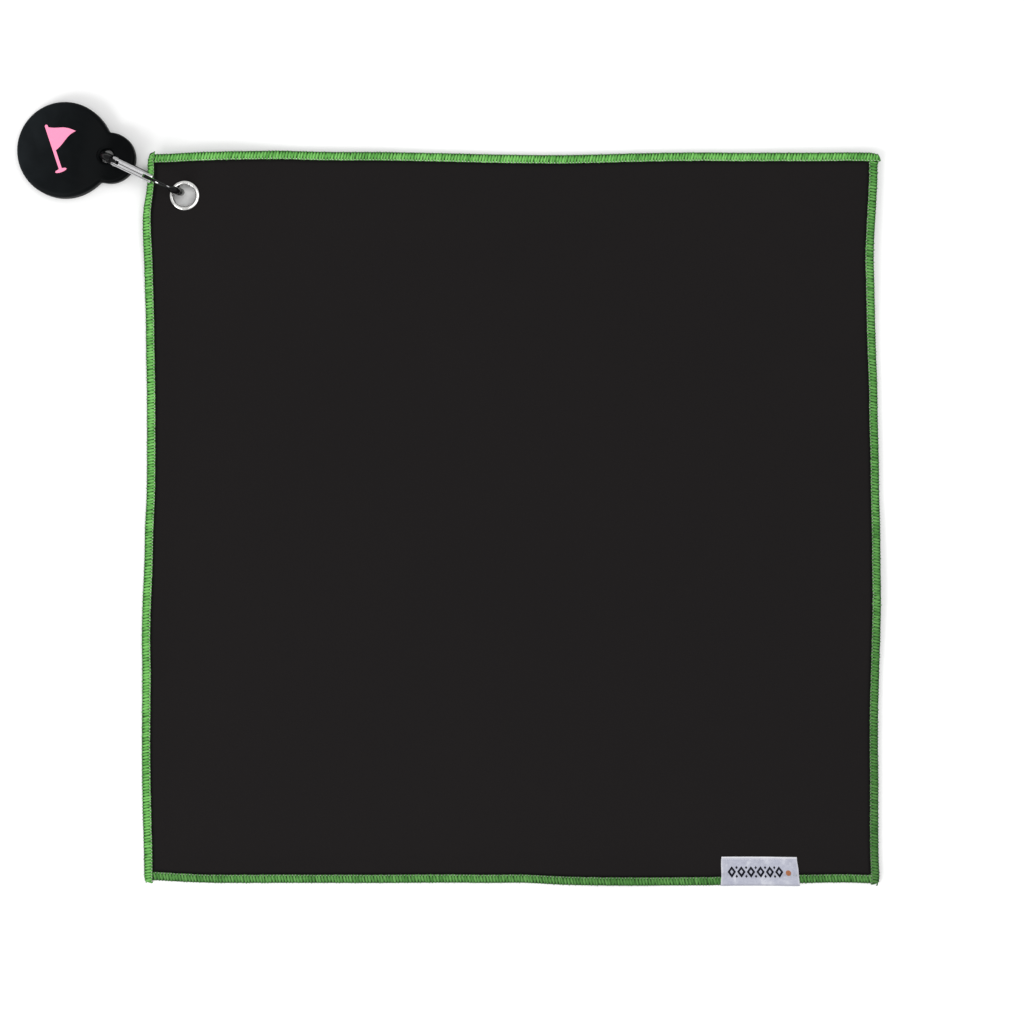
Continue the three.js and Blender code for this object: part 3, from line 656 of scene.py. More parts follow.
# from the needle line over the face, round the rim and a little way under it
UPPER = [
    # share, q, z, width, tone; the tone is painted shade, darker where the strand dips at the needle line and turns
    # round and under the rim
    (-0.02, 4.78, T + 0.16, 0.60, 0.55), (0.02, 4.52, T + 0.44, 1.02, 0.85), (0.12, 4.00, T + 0.57, 1.10, 1.00),
    (0.32, 3.10, T + 0.63, 1.05, 1.03), (0.52, 2.20, T + 0.61, 1.00, 1.02), (0.72, 1.30, T + 0.53, 0.88, 0.92),
    (0.88, 0.62, T + 0.34, 0.74, 0.58), (0.97, 0.22, T - 0.12, 0.60, 0.30), (1.00, 0.10, T - 0.80, 0.56, 0.26),
    (1.00, 0.14, 0.25, 0.56, 0.34), (0.98, 0.46, -0.26, 0.58, 0.40), (0.92, 0.95, -0.44, 0.55, 0.5),
]
# the tone column below is painted shade too, darker at the strands' ends
UNDER = [(0.0, 4.70, -0.16, 0.5, 0.6), (0.08, 4.30, -0.42, 0.8, 0.8), (0.35, 3.2, -0.49, 1.0, 0.95), (0.65, 1.9, -0.49, 1.0, 0.95), (0.92, 0.95, -0.44, 0.9, 0.85), (1.0, 0.5, -0.30, 0.6, 0.6)]
# painted shade: the per-side tone and shade, and their drift along a run, paint the thread darker where the rim got
# less light
SIDE_PAINTED_TONE = {"left": 0.98, "top": 0.93, "right": 0.90, "bottom": 0.90}
SIDE_PAINTED_SHADE = {"left": 0.94, "top": 1.0, "right": 0.62, "bottom": 0.60}
SIDE_RUN = {"left": (-0.7, 407.2), "top": (3.6, 407.0), "right": (4.4, 406.3), "bottom": (4.9, 402.1)}
# how the painted shade of a side drifts along it, from its bottom or left end
RUN_PAINTED_SHADE = {
    "left": ([0, 0.07, 0.2, 0.85, 1], [0.86, 0.98, 0.98, 1.0, 1.06]), "top": ([0, 1], [1.0, 1.0]),
    "right": ([0, 0.12, 0.25, 0.4, 0.6, 1], [0.56, 0.66, 0.78, 0.97, 1.05, 1.20]), "bottom": ([0, 0.15, 0.45, 0.6, 1], [0.86, 0.98, 0.98, 0.82, 0.82]),
}
LEAN = {"left": 0.46, "top": 0.66, "right": 0.44, "bottom": 0.52}


def build_edge(side):
    s0, s1 = SIDE_RUN[side]
    n = int(round((s1 - s0) / PITCH))
    pitch = (s1 - s0) / n
    k = s0 + pitch * (np.arange(n) + 0.5) + rng.normal(0, 0.05, n)
    slow = 0.05 * np.sin(k / 8.7 + len(side)) + 0.05 * np.sin(k / 23.0 + 2.0 * len(side))
    # the side's factor in the tone is painted shade; the rest varies at random along the run
    tone = SIDE_PAINTED_TONE[side] * (0.87 + slow + rng.normal(0, 0.055, n))
    lean = LEAN[side] * pitch
    parts = []
    # the core keeps the run full between the strands; its near-black green is painted shade in the gaps between them
    ring = [(0.42, 0.15), (0.22, 0.6), (0.22, T - 0.1), (0.50, T + 0.34), (2.3, T + 0.42), (4.3, T + 0.34), (4.62, T + 0.08), (4.3, T - 0.05), (1.2, T - 0.1), (0.75, T - 0.5), (0.75, 0.5), (1.2, 0.08), (4.3, 0.05), (4.5, -0.12), (4.2, -0.32), (1.0, -0.32)]
    st = np.linspace(s0 - 0.3, s1 + 0.3, 190)
    qz = np.array(ring)
    cs = np.repeat(st, len(ring)).reshape(len(st), -1)
    core = place(side, cs, drawn_in(side, cs, np.tile(qz[:, 0], (len(st), 1))), np.tile(qz[:, 1], (len(st), 1))).reshape(-1, 3)
    cf = grid_faces(len(st), len(ring), wrap=True).tolist() + [list(range(len(ring)))[::-1], [(len(st) - 1) * len(ring) + i for i in range(len(ring))]]
    parts.append((core, cf, np.full(len(core), 0.3), np.zeros((len(core), 3)), 1))
    a = strand_set(side, k, k + lean, UPPER, 0.55, 0.25, tone * (1.19 + rng.normal(0, 0.12, n)), 8)
    parts.append((*a, 0))
    # painted shade: the second strand of each pair lies lower and is painted darker than the first
    low = [(p[0], p[1], p[2] - 0.07 if p[2] > 1 else p[2], p[3] * 0.94, p[4] * 0.93) for p in UPPER]
    b = strand_set(side, k + pitch, k + lean, low, 0.53, 0.225, tone * (0.78 + rng.normal(0, 0.13, n)), 8)
    parts.append((*b, 0))
    u = strand_set(side, k, k + lean, UNDER, 0.52, 0.17, tone, 6)
    parts.append((*u, 0))
    v = strand_set(side, k + pitch * 0.98, k + lean, UNDER, 0.50, 0.17, tone, 6)
    parts.append((*v, 0))
    # the needle thread shows as a short bar over each pair of strands
    m = 6
    t = np.linspace(-1, 1, m)
    sN = k[:, None] + 0.5 * pitch + 0.37 * t[None, :] + rng.normal(0, 0.04, (n, 1))
    qN = 4.50 + rng.normal(0, 0.05, (n, 1)) + 0.05 * t[None, :]
    zN = T + 0.74 - 0.42 * t[None, :] ** 4 - 0.05 * t[None, :] ** 2 + rng.normal(0, 0.02, (n, 1))
    sides = 6
    th = (np.arange(sides) / sides * 2 - 0.5) * np.pi
    rad = 0.29 * (1 - 0.25 * t[None, :] ** 4) * (1 + rng.normal(0, 0.05, (n, 1)))
    Q = qN[:, :, None] + 1.25 * rad[:, :, None] * np.cos(th)
    Z = zN[:, :, None] + rad[:, :, None] * np.sin(th)
    S = np.repeat(sN[:, :, None], sides, 2)
    pts = place(side, S, drawn_in(side, S, Q), Z).reshape(-1, 3)
    one = grid_faces(m, sides, wrap=True)
    faces = (one[None] + (np.arange(n) * m * sides)[:, None, None]).reshape(-1, 4).tolist()
    first = np.arange(sides)
    for i in range(n):
        base = i * m * sides
        faces.append((base + first[::-1]).tolist())
        faces.append((base + (m - 1) * sides + first).tolist())
    if side in ("top", "right", "left", "bottom"):
        faces = [f[::-1] for f in faces]
    nt = np.repeat(np.clip(tone * (0.86 + rng.normal(0, 0.08, n)), 0.2, 1.1), m * sides)
    fib = np.stack(np.broadcast_arrays((np.arange(sides) / sides)[None, None, :], (sN - sN[:, :1])[:, :, None], 0.5), -1).reshape(-1, 3)
    parts.append((pts, faces, nt, fib, 2))
    # where a run ends the chain of thread is cut off short
    for tail in TAILS.get(side, []):
        c = np.array(tail["path"], float)
        cp = place(side, c[:, 0], c[:, 1], c[:, 2])
        parts.append((*tail_tube(cp, tail["r"]), 0))
    pts, faces, tones, fibres, mats = merge(parts)
    obj = mesh_object(f"{side}_overlock", pts, faces, [thread_mat, gap_shade_core_mat, needle_mat], indices=mats, orient=False)
    # each closed shell is turned outwards on its own
    bm = bmesh.new()
    bm.from_mesh(obj.data)
    bmesh.ops.recalc_face_normals(bm, faces=bm.faces)
    bm.to_mesh(obj.data)
    bm.free()
    attribute(obj, "tone", tones)
    # the third number is painted shade along the run: fixed to the thread, and matched to the sides that got less light
    run = np.array(pts)[:, 1 if side in ("left", "right") else 0]
    run = (run - run.min()) / (run.max() - run.min())
    fibres[:, 2] = SIDE_PAINTED_SHADE[side] * np.interp(run, *RUN_PAINTED_SHADE[side])
    attribute(obj, "fibre", fibres, "FLOAT_VECTOR")
    return obj


def tail_tube(points, radius, sides=8):
    p = np.array(points, float)
    # finer along its length
    t = np.linspace(0, len(p) - 1, len(p) * 4 - 3)
    fine = np.stack([np.interp(t, np.arange(len(p)), p[:, i]) for i in range(3)], -1)
    for _ in range(3):
        fine[1:-1] = (fine[:-2] + 2 * fine[1:-1] + fine[2:]) / 4
    d = np.gradient(fine, axis=0)
    d /= np.linalg.norm(d, axis=1)[:, None] + 1e-9
    up = np.array([0.0, 0.0, 1.0])
    side = np.cross(d, up)
    side /= np.linalg.norm(side, axis=1)[:, None] + 1e-9
    top = np.cross(side, d)
    m = len(fine)
    r = radius * (1 - 0.35 * np.linspace(0, 1, m)) * (1 + 0.14 * np.sin(np.linspace(0, 15, m)))
    pts, faces = tubes(fine[None], (side * r[:, None])[None], (top * r[:, None])[None], sides)
    ln = np.concatenate([[0], np.cumsum(np.linalg.norm(np.diff(fine, axis=0), axis=1))])
    fib = np.stack(np.broadcast_arrays((np.arange(sides) / sides)[None, :], ln[:, None], 0.5), -1).reshape(-1, 3)
    return pts, faces, np.repeat(np.linspace(0.62, 0.45, m), sides), fib


TAILS = {
    "top": [{"path": [(3.7, 2.6, T + 0.4), (3.6, 1.2, T + 0.75), (3.6, 0.4, T + 0.6), (3.5, -0.3, T + 0.2), (3.6, -0.9, T - 0.1), (3.7, -1.4, T - 0.3)], "r": 0.42}],
    "left": [{"path": [(404.5, 1.2, T + 0.3), (406.0, 0.9, T + 0.2), (407.2, 0.8, T - 0.2), (408.0, 0.9, 1.0), (408.6, 0.8, 0.7)], "r": 0.5}],
    "right": [{"path": [(405.8, 1.4, T + 0.3), (407.2, 1.0, T), (408.0, 0.9, 1.0), (408.6, 1.2, 0.7)], "r": 0.5}, {"path": [(6.6, 0.4, T), (5.0, -0.25, T - 0.3), (3.4, -0.3, T - 0.5), (2.2, 0.05, T - 0.8)], "r": 0.4}],
}
edges = {side: build_edge(side) for side in ("left", "top", "right", "bottom")}

# ------------------------------------------------------------------ the label
F_CLEAR = 1.05


def label_line():
    """The tape's middle line from its inner end on the face to its inner end on the back: (q, z, distance run)."""
    face = [(LABEL_LEN, T + 0.47), (12.0, T + 0.48), (8.4, T + 0.50), (6.6, T + 0.62), (5.4, T + 1.06), (4.2, T + 1.24), (2.4, T + 1.25), (0.8, T + 1.18), (-0.2, T + 0.78), (-0.47, T + 0.1)]
    back = [(-0.47, 0.1), (-0.28, -0.72), (0.7, -1.18), (2.4, -1.23), (4.4, -1.22), (5.5, -0.98), (6.8, -0.55), (9.0, -0.48), (12.0, -0.47), (LABEL_LEN - 0.2, -0.47)]
    p = np.array(face + back)
    d = np.concatenate([[0], np.cumsum(np.hypot(*np.diff(p, axis=0).T))])
    t = np.linspace(0, d[-1], 120)
    q, z = np.interp(t, d, p[:, 0]), np.interp(t, d, p[:, 1])
    for _ in range(10):
        q[1:-1] = (q[:-2] + 2 * q[1:-1] + q[2:]) / 4
        z[1:-1] = (z[:-2] + 2 * z[1:-1] + z[2:]) / 4
    return q, z, t


LQ, LZ, LD = label_line()


def label_wave(s, q, face):
    """Small puckers of the tape: at its sewn end and its two sides."""
    w = 0.13 * np.sin(s / 1.9 + 1.4 * np.sin(s / 5.3) + q / 3.1) * np.exp(-((q - 12.2) / 2.6) ** 2)
    w = w + 0.16 * np.exp(-(((s - 325.5) / 2.8) ** 2 + ((q - 12.8) / 2.0) ** 2)) + 0.20 * np.exp(-(((s - 354.2) / 2.4) ** 2 + ((q - 12.3) / 2.1) ** 2)) + 0.14 * np.exp(-(((s - 359.8) / 1.8) ** 2 + ((q - 10.0) / 2.5) ** 2))
    w = w + 0.10 * np.sin(s / 3.7 + q / 2.2) + 0.05 * np.sin(s / 1.55 - q / 2.9 + 0.8) * step01((q - 5) / 5.0)
    return np.where(face, w * step01(q / 5.0), 0.02 * w)


def label_point(s, i_q, i_z, off, face):
    a = s - np.where(s > 341, (s - 341) / (LABEL_A1 - 341), 0) * 0.07 * np.maximum(0, i_q) + 0.12 * np.sin(i_q / 1.7 + s / 9) * np.abs((s - 341.2) / 21.8) ** 6
    a = a + np.clip((341 - s) / 21.5, 0, 1) * (-0.55 + 0.051 * np.maximum(0, i_q))
    x, y = plan(a, H - np.maximum(0, i_q))
    z = lift(a, H - np.maximum(0, i_q)) + i_z + off + label_wave(s, i_q, face)
    # the tape is straight where the rim runs at a slight angle
    square = 0.25 - 1.20 * (s - LABEL_A0) / (LABEL_A1 - LABEL_A0)
    return np.stack([x, y + np.minimum(0, i_q) + square, z], -1)


def build_label():
    ns = 110
    s = np.linspace(LABEL_A0, LABEL_A1, ns)
    dq, dz = np.gradient(LQ), np.gradient(LZ)
    ln = np.hypot(dq, dz)
    nq, nz = dz / ln, -dq / ln          # points up on the face
    m = len(LQ)
    face = np.arange(m) < m // 2
    hem = 0.10 * np.exp(-((LQ - 15.2) / 0.42) ** 2)
    rows, uv, tones = [], [], []
    for sign in (1, -1):
        half = LABEL_T / 2 + hem * (sign > 0)
        q, z = LQ + nq * half * sign, LZ + nz * half * sign
        S, Q = np.meshgrid(s, q, indexing="ij")
        Z = np.tile(z, (ns, 1))
        fc = np.tile(face, (ns, 1))
        rows.append(label_point(S, Q, Z, 0.0, fc))
        # painted shade along the fold: this third number darkens the tape where it turns round the rim
        worn = np.exp(-((Q + 0.25) / 0.75) ** 2)
        uv.append(np.stack(np.broadcast_arrays(S, np.tile(LD, (ns, 1)), worn), -1))
        # painted highlight: the hem and the two cut sides of the tape are painted lighter
        sides = np.maximum(np.exp(-((S - LABEL_A0) / 0.55) ** 2), np.exp(-((S - LABEL_A1) / 0.55) ** 2))
        tones.append(np.clip(np.maximum(0.85 * np.exp(-((Q - 15.25) / 0.55) ** 4), 0.6 * sides), 0, 1))
    top, low = rows
    pts = np.concatenate([top.reshape(-1, 3), low.reshape(-1, 3)])
    k = ns * m
    f1 = grid_faces(ns, m)
    f2 = grid_faces(ns, m, start=k)[:, ::-1]
    faces = f1.tolist() + f2.tolist()
    ix = lambda i, j, o: i * m + j + o * k
    for i in range(ns - 1):
        faces.append([ix(i, 0, 0), ix(i + 1, 0, 0), ix(i + 1, 0, 1), ix(i, 0, 1)][::-1])
        faces.append([ix(i, m - 1, 0), ix(i + 1, m - 1, 0), ix(i + 1, m - 1, 1), ix(i, m - 1, 1)])
    for j in range(m - 1):
        faces.append([ix(0, j, 0), ix(0, j + 1, 0), ix(0, j + 1, 1), ix(0, j, 1)])
        faces.append([ix(ns - 1, j, 0), ix(ns - 1, j + 1, 0), ix(ns - 1, j + 1, 1), ix(ns - 1, j, 1)][::-1])
    obj = mesh_object("label_tape_folded", pts, faces, label_mat, orient=False)
    bm = bmesh.new()
    bm.from_mesh(obj.data)
    bmesh.ops.recalc_face_normals(bm, faces=bm.faces)
    bm.to_mesh(obj.data)
    bm.free()
    attribute(obj, "tone", np.concatenate([t.ravel() for t in tones]))
    attribute(obj, "fibre", np.concatenate([u.reshape(-1, 3) for u in uv]), "FLOAT_VECTOR")
    return obj


label = build_label()
FACE_Z = lambda q: np.interp(-q, -LQ[:60], LZ[:60])


def on_label(s, q, rise):
    """A point above the label's face."""
    q = np.asarray(q, float)
    return label_point(np.asarray(s, float), q, FACE_Z(q), LABEL_T / 2 + rise, np.ones_like(q, bool))


def patch(outline, rings, rise, edge=0.0):
    """A raised patch on the label: the outline (s, q) drawn in towards its middle in rings, with a rim down to the tape."""
    o = np.array(outline, float)
    n = len(o)
    c = o.mean(0)
    pts, faces = [on_label(o[:, 0], o[:, 1], -0.04)], []
    for t in rings:
        p = c + (o - c) * t
        h = rise * np.sqrt(max(0.0, 1 - t * t)) + edge
        pts.append(on_label(p[:, 0], p[:, 1], h))
    pts.append(on_label(np.array([c[0]]), np.array([c[1]]), rise + edge))
    m = len(rings) + 1
    faces = grid_faces(m, n, wrap=True).tolist()
    last = (m - 1) * n
    faces += [[last + i, last + (i + 1) % n, m * n] for i in range(n)]
    faces.append(list(range(n))[::-1])
    return np.concatenate(pts), faces


def frame_patch(outer, inner, rise):
    """A raised closed band between two outlines with the same number of points."""
    o, i = np.array(outer, float), np.array(inner, float)
    n = len(o)
    pts, levels = [], [(0.0, -0.04), (0.08, rise * 0.8), (0.5, rise), (0.92, rise * 0.8), (1.0, -0.04)]
    for t, h in levels:
        p = o + (i - o) * t
        pts.append(on_label(p[:, 0], p[:, 1], h))
    m = len(levels)
    faces = grid_faces(m, n, wrap=True).tolist()
    faces += [[(m - 1) * n + j, (m - 1) * n + (j + 1) % n, (j + 1) % n, j] for j in range(n)]
    return np.concatenate(pts), faces


def lozenge(cs, cq, hw, hh, per=6):
    corners = [(cs + hw, cq), (cs, cq + hh), (cs - hw, cq), (cs, cq - hh)]
    out = []
    for k in range(4):
        p, q = corners[k], corners[(k + 1) % 4]
        out += [(p[0] + (q[0] - p[0]) * i / per, p[1] + (q[1] - p[1]) * i / per) for i in range(per)]
    return out


def shells(name, parts, material):
    pts, faces, base = [], [], 0
    for p, f in parts:
        pts.append(p)
        faces += [[v + base for v in face] for face in f]
        base += len(p)
    obj = mesh_object(name, np.concatenate(pts), faces, material, sharp=50, orient=False)
    bm = bmesh.new()
    bm.from_mesh(obj.data)
    bmesh.ops.recalc_face_normals(bm, faces=bm.faces)
    bm.to_mesh(obj.data)
    bm.free()
    return obj


def build_motif():
    parts = []
    for k in range(6):
        cs, cq = 325.3 + 5.27 * k, 7.2
        parts.append(frame_patch(lozenge(cs, cq, 2.40, 3.20), lozenge(cs, cq, 0.92, 1.22), 0.10))
    for k in range(5):
        cs = 325.3 + 5.27 * (k + 0.5)
        for cq in (7.2 + 2.35, 7.2 - 2.35):
            parts.append(patch(lozenge(cs, cq, 0.72, 0.90, 3), [0.97, 0.6], 0.05, 0.05))
    navy = shells("label_lozenges", parts, navy_mat)
    t = np.linspace(0, 2 * np.pi, 28, endpoint=False)
    dot = [(356.8 + 1.5 * math.cos(x), 6.7 + 1.5 * math.sin(x)) for x in t]
    copper = shells("label_dot", [patch(dot, [0.98, 0.8, 0.5, 0.25], 0.16, 0.05)], copper_mat)
    return navy, copper


navy, copper = build_motif()


def build_label_stitches():
    """A short row of stitches that holds the label, near its inner end."""
    rows = []
    for q0, step, half in ((14.05, 2.1, 0.82),):
        s = np.arange(LABEL_A0 + 1.4, LABEL_A1 - 1.4, step)
        n = len(s)
        m = 6
        t = np.linspace(-1, 1, m)
        S = s[:, None] + half * t[None, :] + rng.normal(0, 0.04, (n, 1))
        Q = q0 + rng.normal(0, 0.05, (n, 1)) + 0 * t[None, :]
        rise = 0.10 - 0.17 * t[None, :] ** 4
        sides = 6
        th = (np.arange(sides) / sides * 2 - 0.5) * np.pi
        rr = 0.13
        pts = on_label(np.repeat(S[:, :, None], sides, 2), Q[:, :, None] + rr * np.cos(th), rise[:, :, None] + rr * 0.7 * np.sin(th))
        one = grid_faces(m, sides, wrap=True)
        faces = (one[None] + (np.arange(n) * m * sides)[:, None, None]).reshape(-1, 4).tolist()
        for i in range(n):
            b0 = i * m * sides
            faces.append([b0 + j for j in range(sides)][::-1])
            faces.append([b0 + (m - 1) * sides + j for j in range(sides)])
        rows.append((pts.reshape(-1, 3), faces))
    obj = shells("label_stitches", rows, make_satin_stitch("label_thread", (0.50, 0.50, 0.58), (0.74, 0.74, 0.80)))
    return obj


label_stitches = build_label_stitches()


# ------------------------------------------------------------------ the eyelet
def curve_through(points, per=5):
    """A smooth open curve through the points, Catmull-Rom."""
    p = np.array(points, float)
    ext = np.concatenate([[2 * p[0] - p[1]], p, [2 * p[-1] - p[-2]]])
    out = []
    for i in range(len(p) - 1):
        a, b, c, d = ext[i:i + 4]
        for t in np.arange(per) / per:
            out.append(0.5 * ((2 * b) + (c - a) * t + (2 * a - 5 * b + 4 * c - d) * t * t + (3 * b - a - 3 * c + d) * t ** 3))
    out.append(p[-1])
    return np.array(out)


def lathe(name, profile, segments, material, centre, sharp=40, turn=None):
    p = np.array(profile, float)
    ang = np.linspace(0, 2 * np.pi, segments, endpoint=False)
    x = centre[0] + p[:, 0][:, None] * np.cos(ang)
    y = centre[1] + p[:, 0][:, None] * np.sin(ang)
    z = centre[2] + np.repeat(p[:, 1][:, None], segments, 1)
    pts = np.stack([x, y, z], -1).reshape(-1, 3)
    n = len(p)
    faces = []
    for i in range(n):
        k = (i + 1) % n
        for j in range(segments):
            jj = (j + 1) % segments
            faces.append([i * segments + j, i * segments + jj, k * segments + jj, k * segments + j])
    return mesh_object(name, pts, faces, material, sharp=sharp, turn=turn)


zt, zb = CORNER_H + T + 0.3, CORNER_H - 0.3
dome = curve_through([(6.12, zt + 0.52), (6.3, zt + 0.80), (6.6, zt + 0.93), (7.0, zt + 1.0), (7.5, zt + 0.95), (7.9, zt + 0.78), (8.15, zt + 0.5), (8.27, zt + 0.2), (8.22, zt + 0.0)], 5)
profile = [(6.1, zb - 0.35), (6.1, zt + 0.30)] + dome.tolist() + [(7.9, zt - 0.02), (6.75, zt), (6.75, zb), (8.0, zb), (8.02, zb - 0.25), (7.85, zb - 0.45), (7.4, zb - 0.66), (6.9, zb - 0.7), (6.5, zb - 0.68), (6.2, zb - 0.55)]
eyelet = lathe("eyelet_ring", profile, 112, nickel_mat, (EYELET[0], EYELET[1], 0.0), sharp=52)

# ------------------------------------------------------------------ the carabiner, in its own plane (u, w, n)
rad = math.radians
u_dir = Vector((math.cos(rad(CARA_YAW)), math.sin(rad(CARA_YAW)), 0))
side_dir = Vector((-u_dir.y, u_dir.x, 0))
w_dir = Vector((0, 0, math.cos(rad(6)))) - side_dir * math.sin(rad(6))
n_dir = u_dir.cross(w_dir)
cara_origin = (Vector((-203.84, 189.50, 2.05)) + side_dir * math.sin(rad(6)) * 10) * MM
CARA = Matrix(((u_dir.x, w_dir.x, n_dir.x, cara_origin.x), (u_dir.y, w_dir.y, n_dir.y, cara_origin.y), (u_dir.z, w_dir.z, n_dir.z, cara_origin.z), (0, 0, 0, 1)))
BAR_R, CARA_W, PIVOT_U, BLADE_T = 2.0, 20.0, -14.1, 2.1


def arc(cx, cy, r, start, end, steps):
    t = np.radians(np.linspace(start, end, steps + 1))
    return np.stack([cx + r * np.cos(t), cy + r * np.sin(t)], -1).tolist()


def bar():
    start = math.degrees(math.acos((-16.95 + 15) / 8))
    line = arc(-15, 12, 8, start, 180, 18) + arc(-16, 7, 7, 180, 270, 16)[1:] + [[x, 0.0] for x in np.linspace(-13, 15, 12)] + arc(17, 6, 6, 270, 360, 16) + arc(14, 11, 9, 0, 90, 20)[1:] + [[12.2, 20.0], [10.6, 20.0], [9.1, 20.0]]
    line = np.array(line)
    keep = np.concatenate([[True], np.hypot(*np.diff(line, axis=0).T) > 1e-4])
    line = line[keep]
    d = np.gradient(line, axis=0)
    d /= np.hypot(d[:, 0], d[:, 1])[:, None]
    nrm = np.stack([-d[:, 1], d[:, 0]], -1)
    n = len(line)
    r = np.full(n, BAR_R)
    # the two cut ends are broken with a small radius
    pts3 = np.stack([line[:, 0], line[:, 1], np.zeros(n)], -1)
    ends = []
    for e, sgn in ((0, -1), (n - 1, 1)):
        ends.append((pts3[e] + np.array([*d[e], 0]) * sgn * 0.001, BAR_R - 0.28))
    centres = np.concatenate([[pts3[0]], [pts3[0] + np.array([*d[0], 0]) * 0.10], [pts3[0] + np.array([*d[0], 0]) * 0.28], pts3[1:-1], [pts3[-1] - np.array([*d[-1], 0]) * 0.28], [pts3[-1] - np.array([*d[-1], 0]) * 0.10], [pts3[-1]]])
    rr = np.concatenate([[BAR_R - 0.28, BAR_R - 0.08, BAR_R], r[1:-1], [BAR_R, BAR_R - 0.08, BAR_R - 0.28]])
    nn = np.concatenate([[nrm[0]] * 3, nrm[1:-1], [nrm[-1]] * 3])
    side = np.stack([nn[:, 0], nn[:, 1], np.zeros(len(nn))], -1) * rr[:, None]
    # the arm over the bow is milled flat down to a blade
    t = step01((np.degrees(np.arctan2(centres[0:, 1] - 11, centres[:, 0] - 14)) - 44) / 18)
    flat = np.where((centres[:, 0] > 8) & (centres[:, 1] > 11.5), 1 + (BLADE_T / (2 * BAR_R) - 1) * t, 1.0)
    up = np.zeros_like(side)
    up[:, 2] = rr * flat
    p, f = tubes(centres[None], side[None], up[None], 28)
    return mesh_object("carabiner_bent_bar", p, f, black_mat)


def plate(name, outline, thickness, material, edge=0.12):
    o = np.array(outline, float)
    n = len(o)
    c = o.mean(0)
    def inset(d):
        q = o.copy()
        for i in range(n):
            a, b, e = o[i - 1], o[i], o[(i + 1) % n]
            v1, v2 = (b - a) / np.linalg.norm(b - a), (e - b) / np.linalg.norm(e - b)
            nn = np.array([-(v1 + v2)[1], (v1 + v2)[0]])
            nn /= np.linalg.norm(nn)
            if np.dot(nn, c - b) < 0:
                nn = -nn
            q[i] = b + nn * d
        return q
    h = thickness / 2
    layers = [(inset(edge), -h), (inset(edge * 0.3), -h + edge * 0.3), (o, -h + edge), (o, h - edge), (inset(edge * 0.3), h - edge * 0.3), (inset(edge), h)]
    pts = np.concatenate([np.stack([q[:, 0], q[:, 1], np.full(n, z)], -1) for q, z in layers])
    faces = grid_faces(len(layers), n, wrap=True).tolist() + [list(range(n))[::-1], [(len(layers) - 1) * n + i for i in range(n)]]
    return mesh_object(name, pts, faces, material)


def rod(name, cx, cy, r, length, sides, material):
    t = np.linspace(0, 2 * np.pi, sides, endpoint=False)
    ring = np.stack([cx + r * np.cos(t), cy + r * np.sin(t)], -1)
    pts = np.concatenate([np.column_stack([ring, np.full(sides, -length / 2)]), np.column_stack([ring, np.full(sides, length / 2)])])
    faces = grid_faces(2, sides, wrap=True).tolist() + [list(range(sides))[::-1], list(range(sides, 2 * sides))]
    return mesh_object(name, pts, faces, material)


carabiner = bar()
tang = plate("tang_tmp", [[-17.9, 18.2], [PIVOT_U, CARA_W - 1.6]] + arc(PIVOT_U, CARA_W, 1.6, -80, 80, 16) + [[PIVOT_U, CARA_W + 1.6], [-17.9, 20.9]], 1.5, black_mat)
nose = plate("nose_tmp", [[11.5, CARA_W - 1.3], [11.5, CARA_W + 1.3], [4.4, CARA_W + 1.3], [3.95, CARA_W + 1.1], [3.7, CARA_W + 0.65], [3.7, CARA_W - 0.65], [3.95, CARA_W - 1.1], [4.4, CARA_W - 1.3]], 1.5, black_mat)
boolean(tang, rod("hole_tmp", PIVOT_U, CARA_W, 0.95, 8, 32, black_mat), "DIFFERENCE")
join(carabiner, tang, nose)
smooth_by_angle(carabiner, 34)
carabiner.data.transform(CARA)


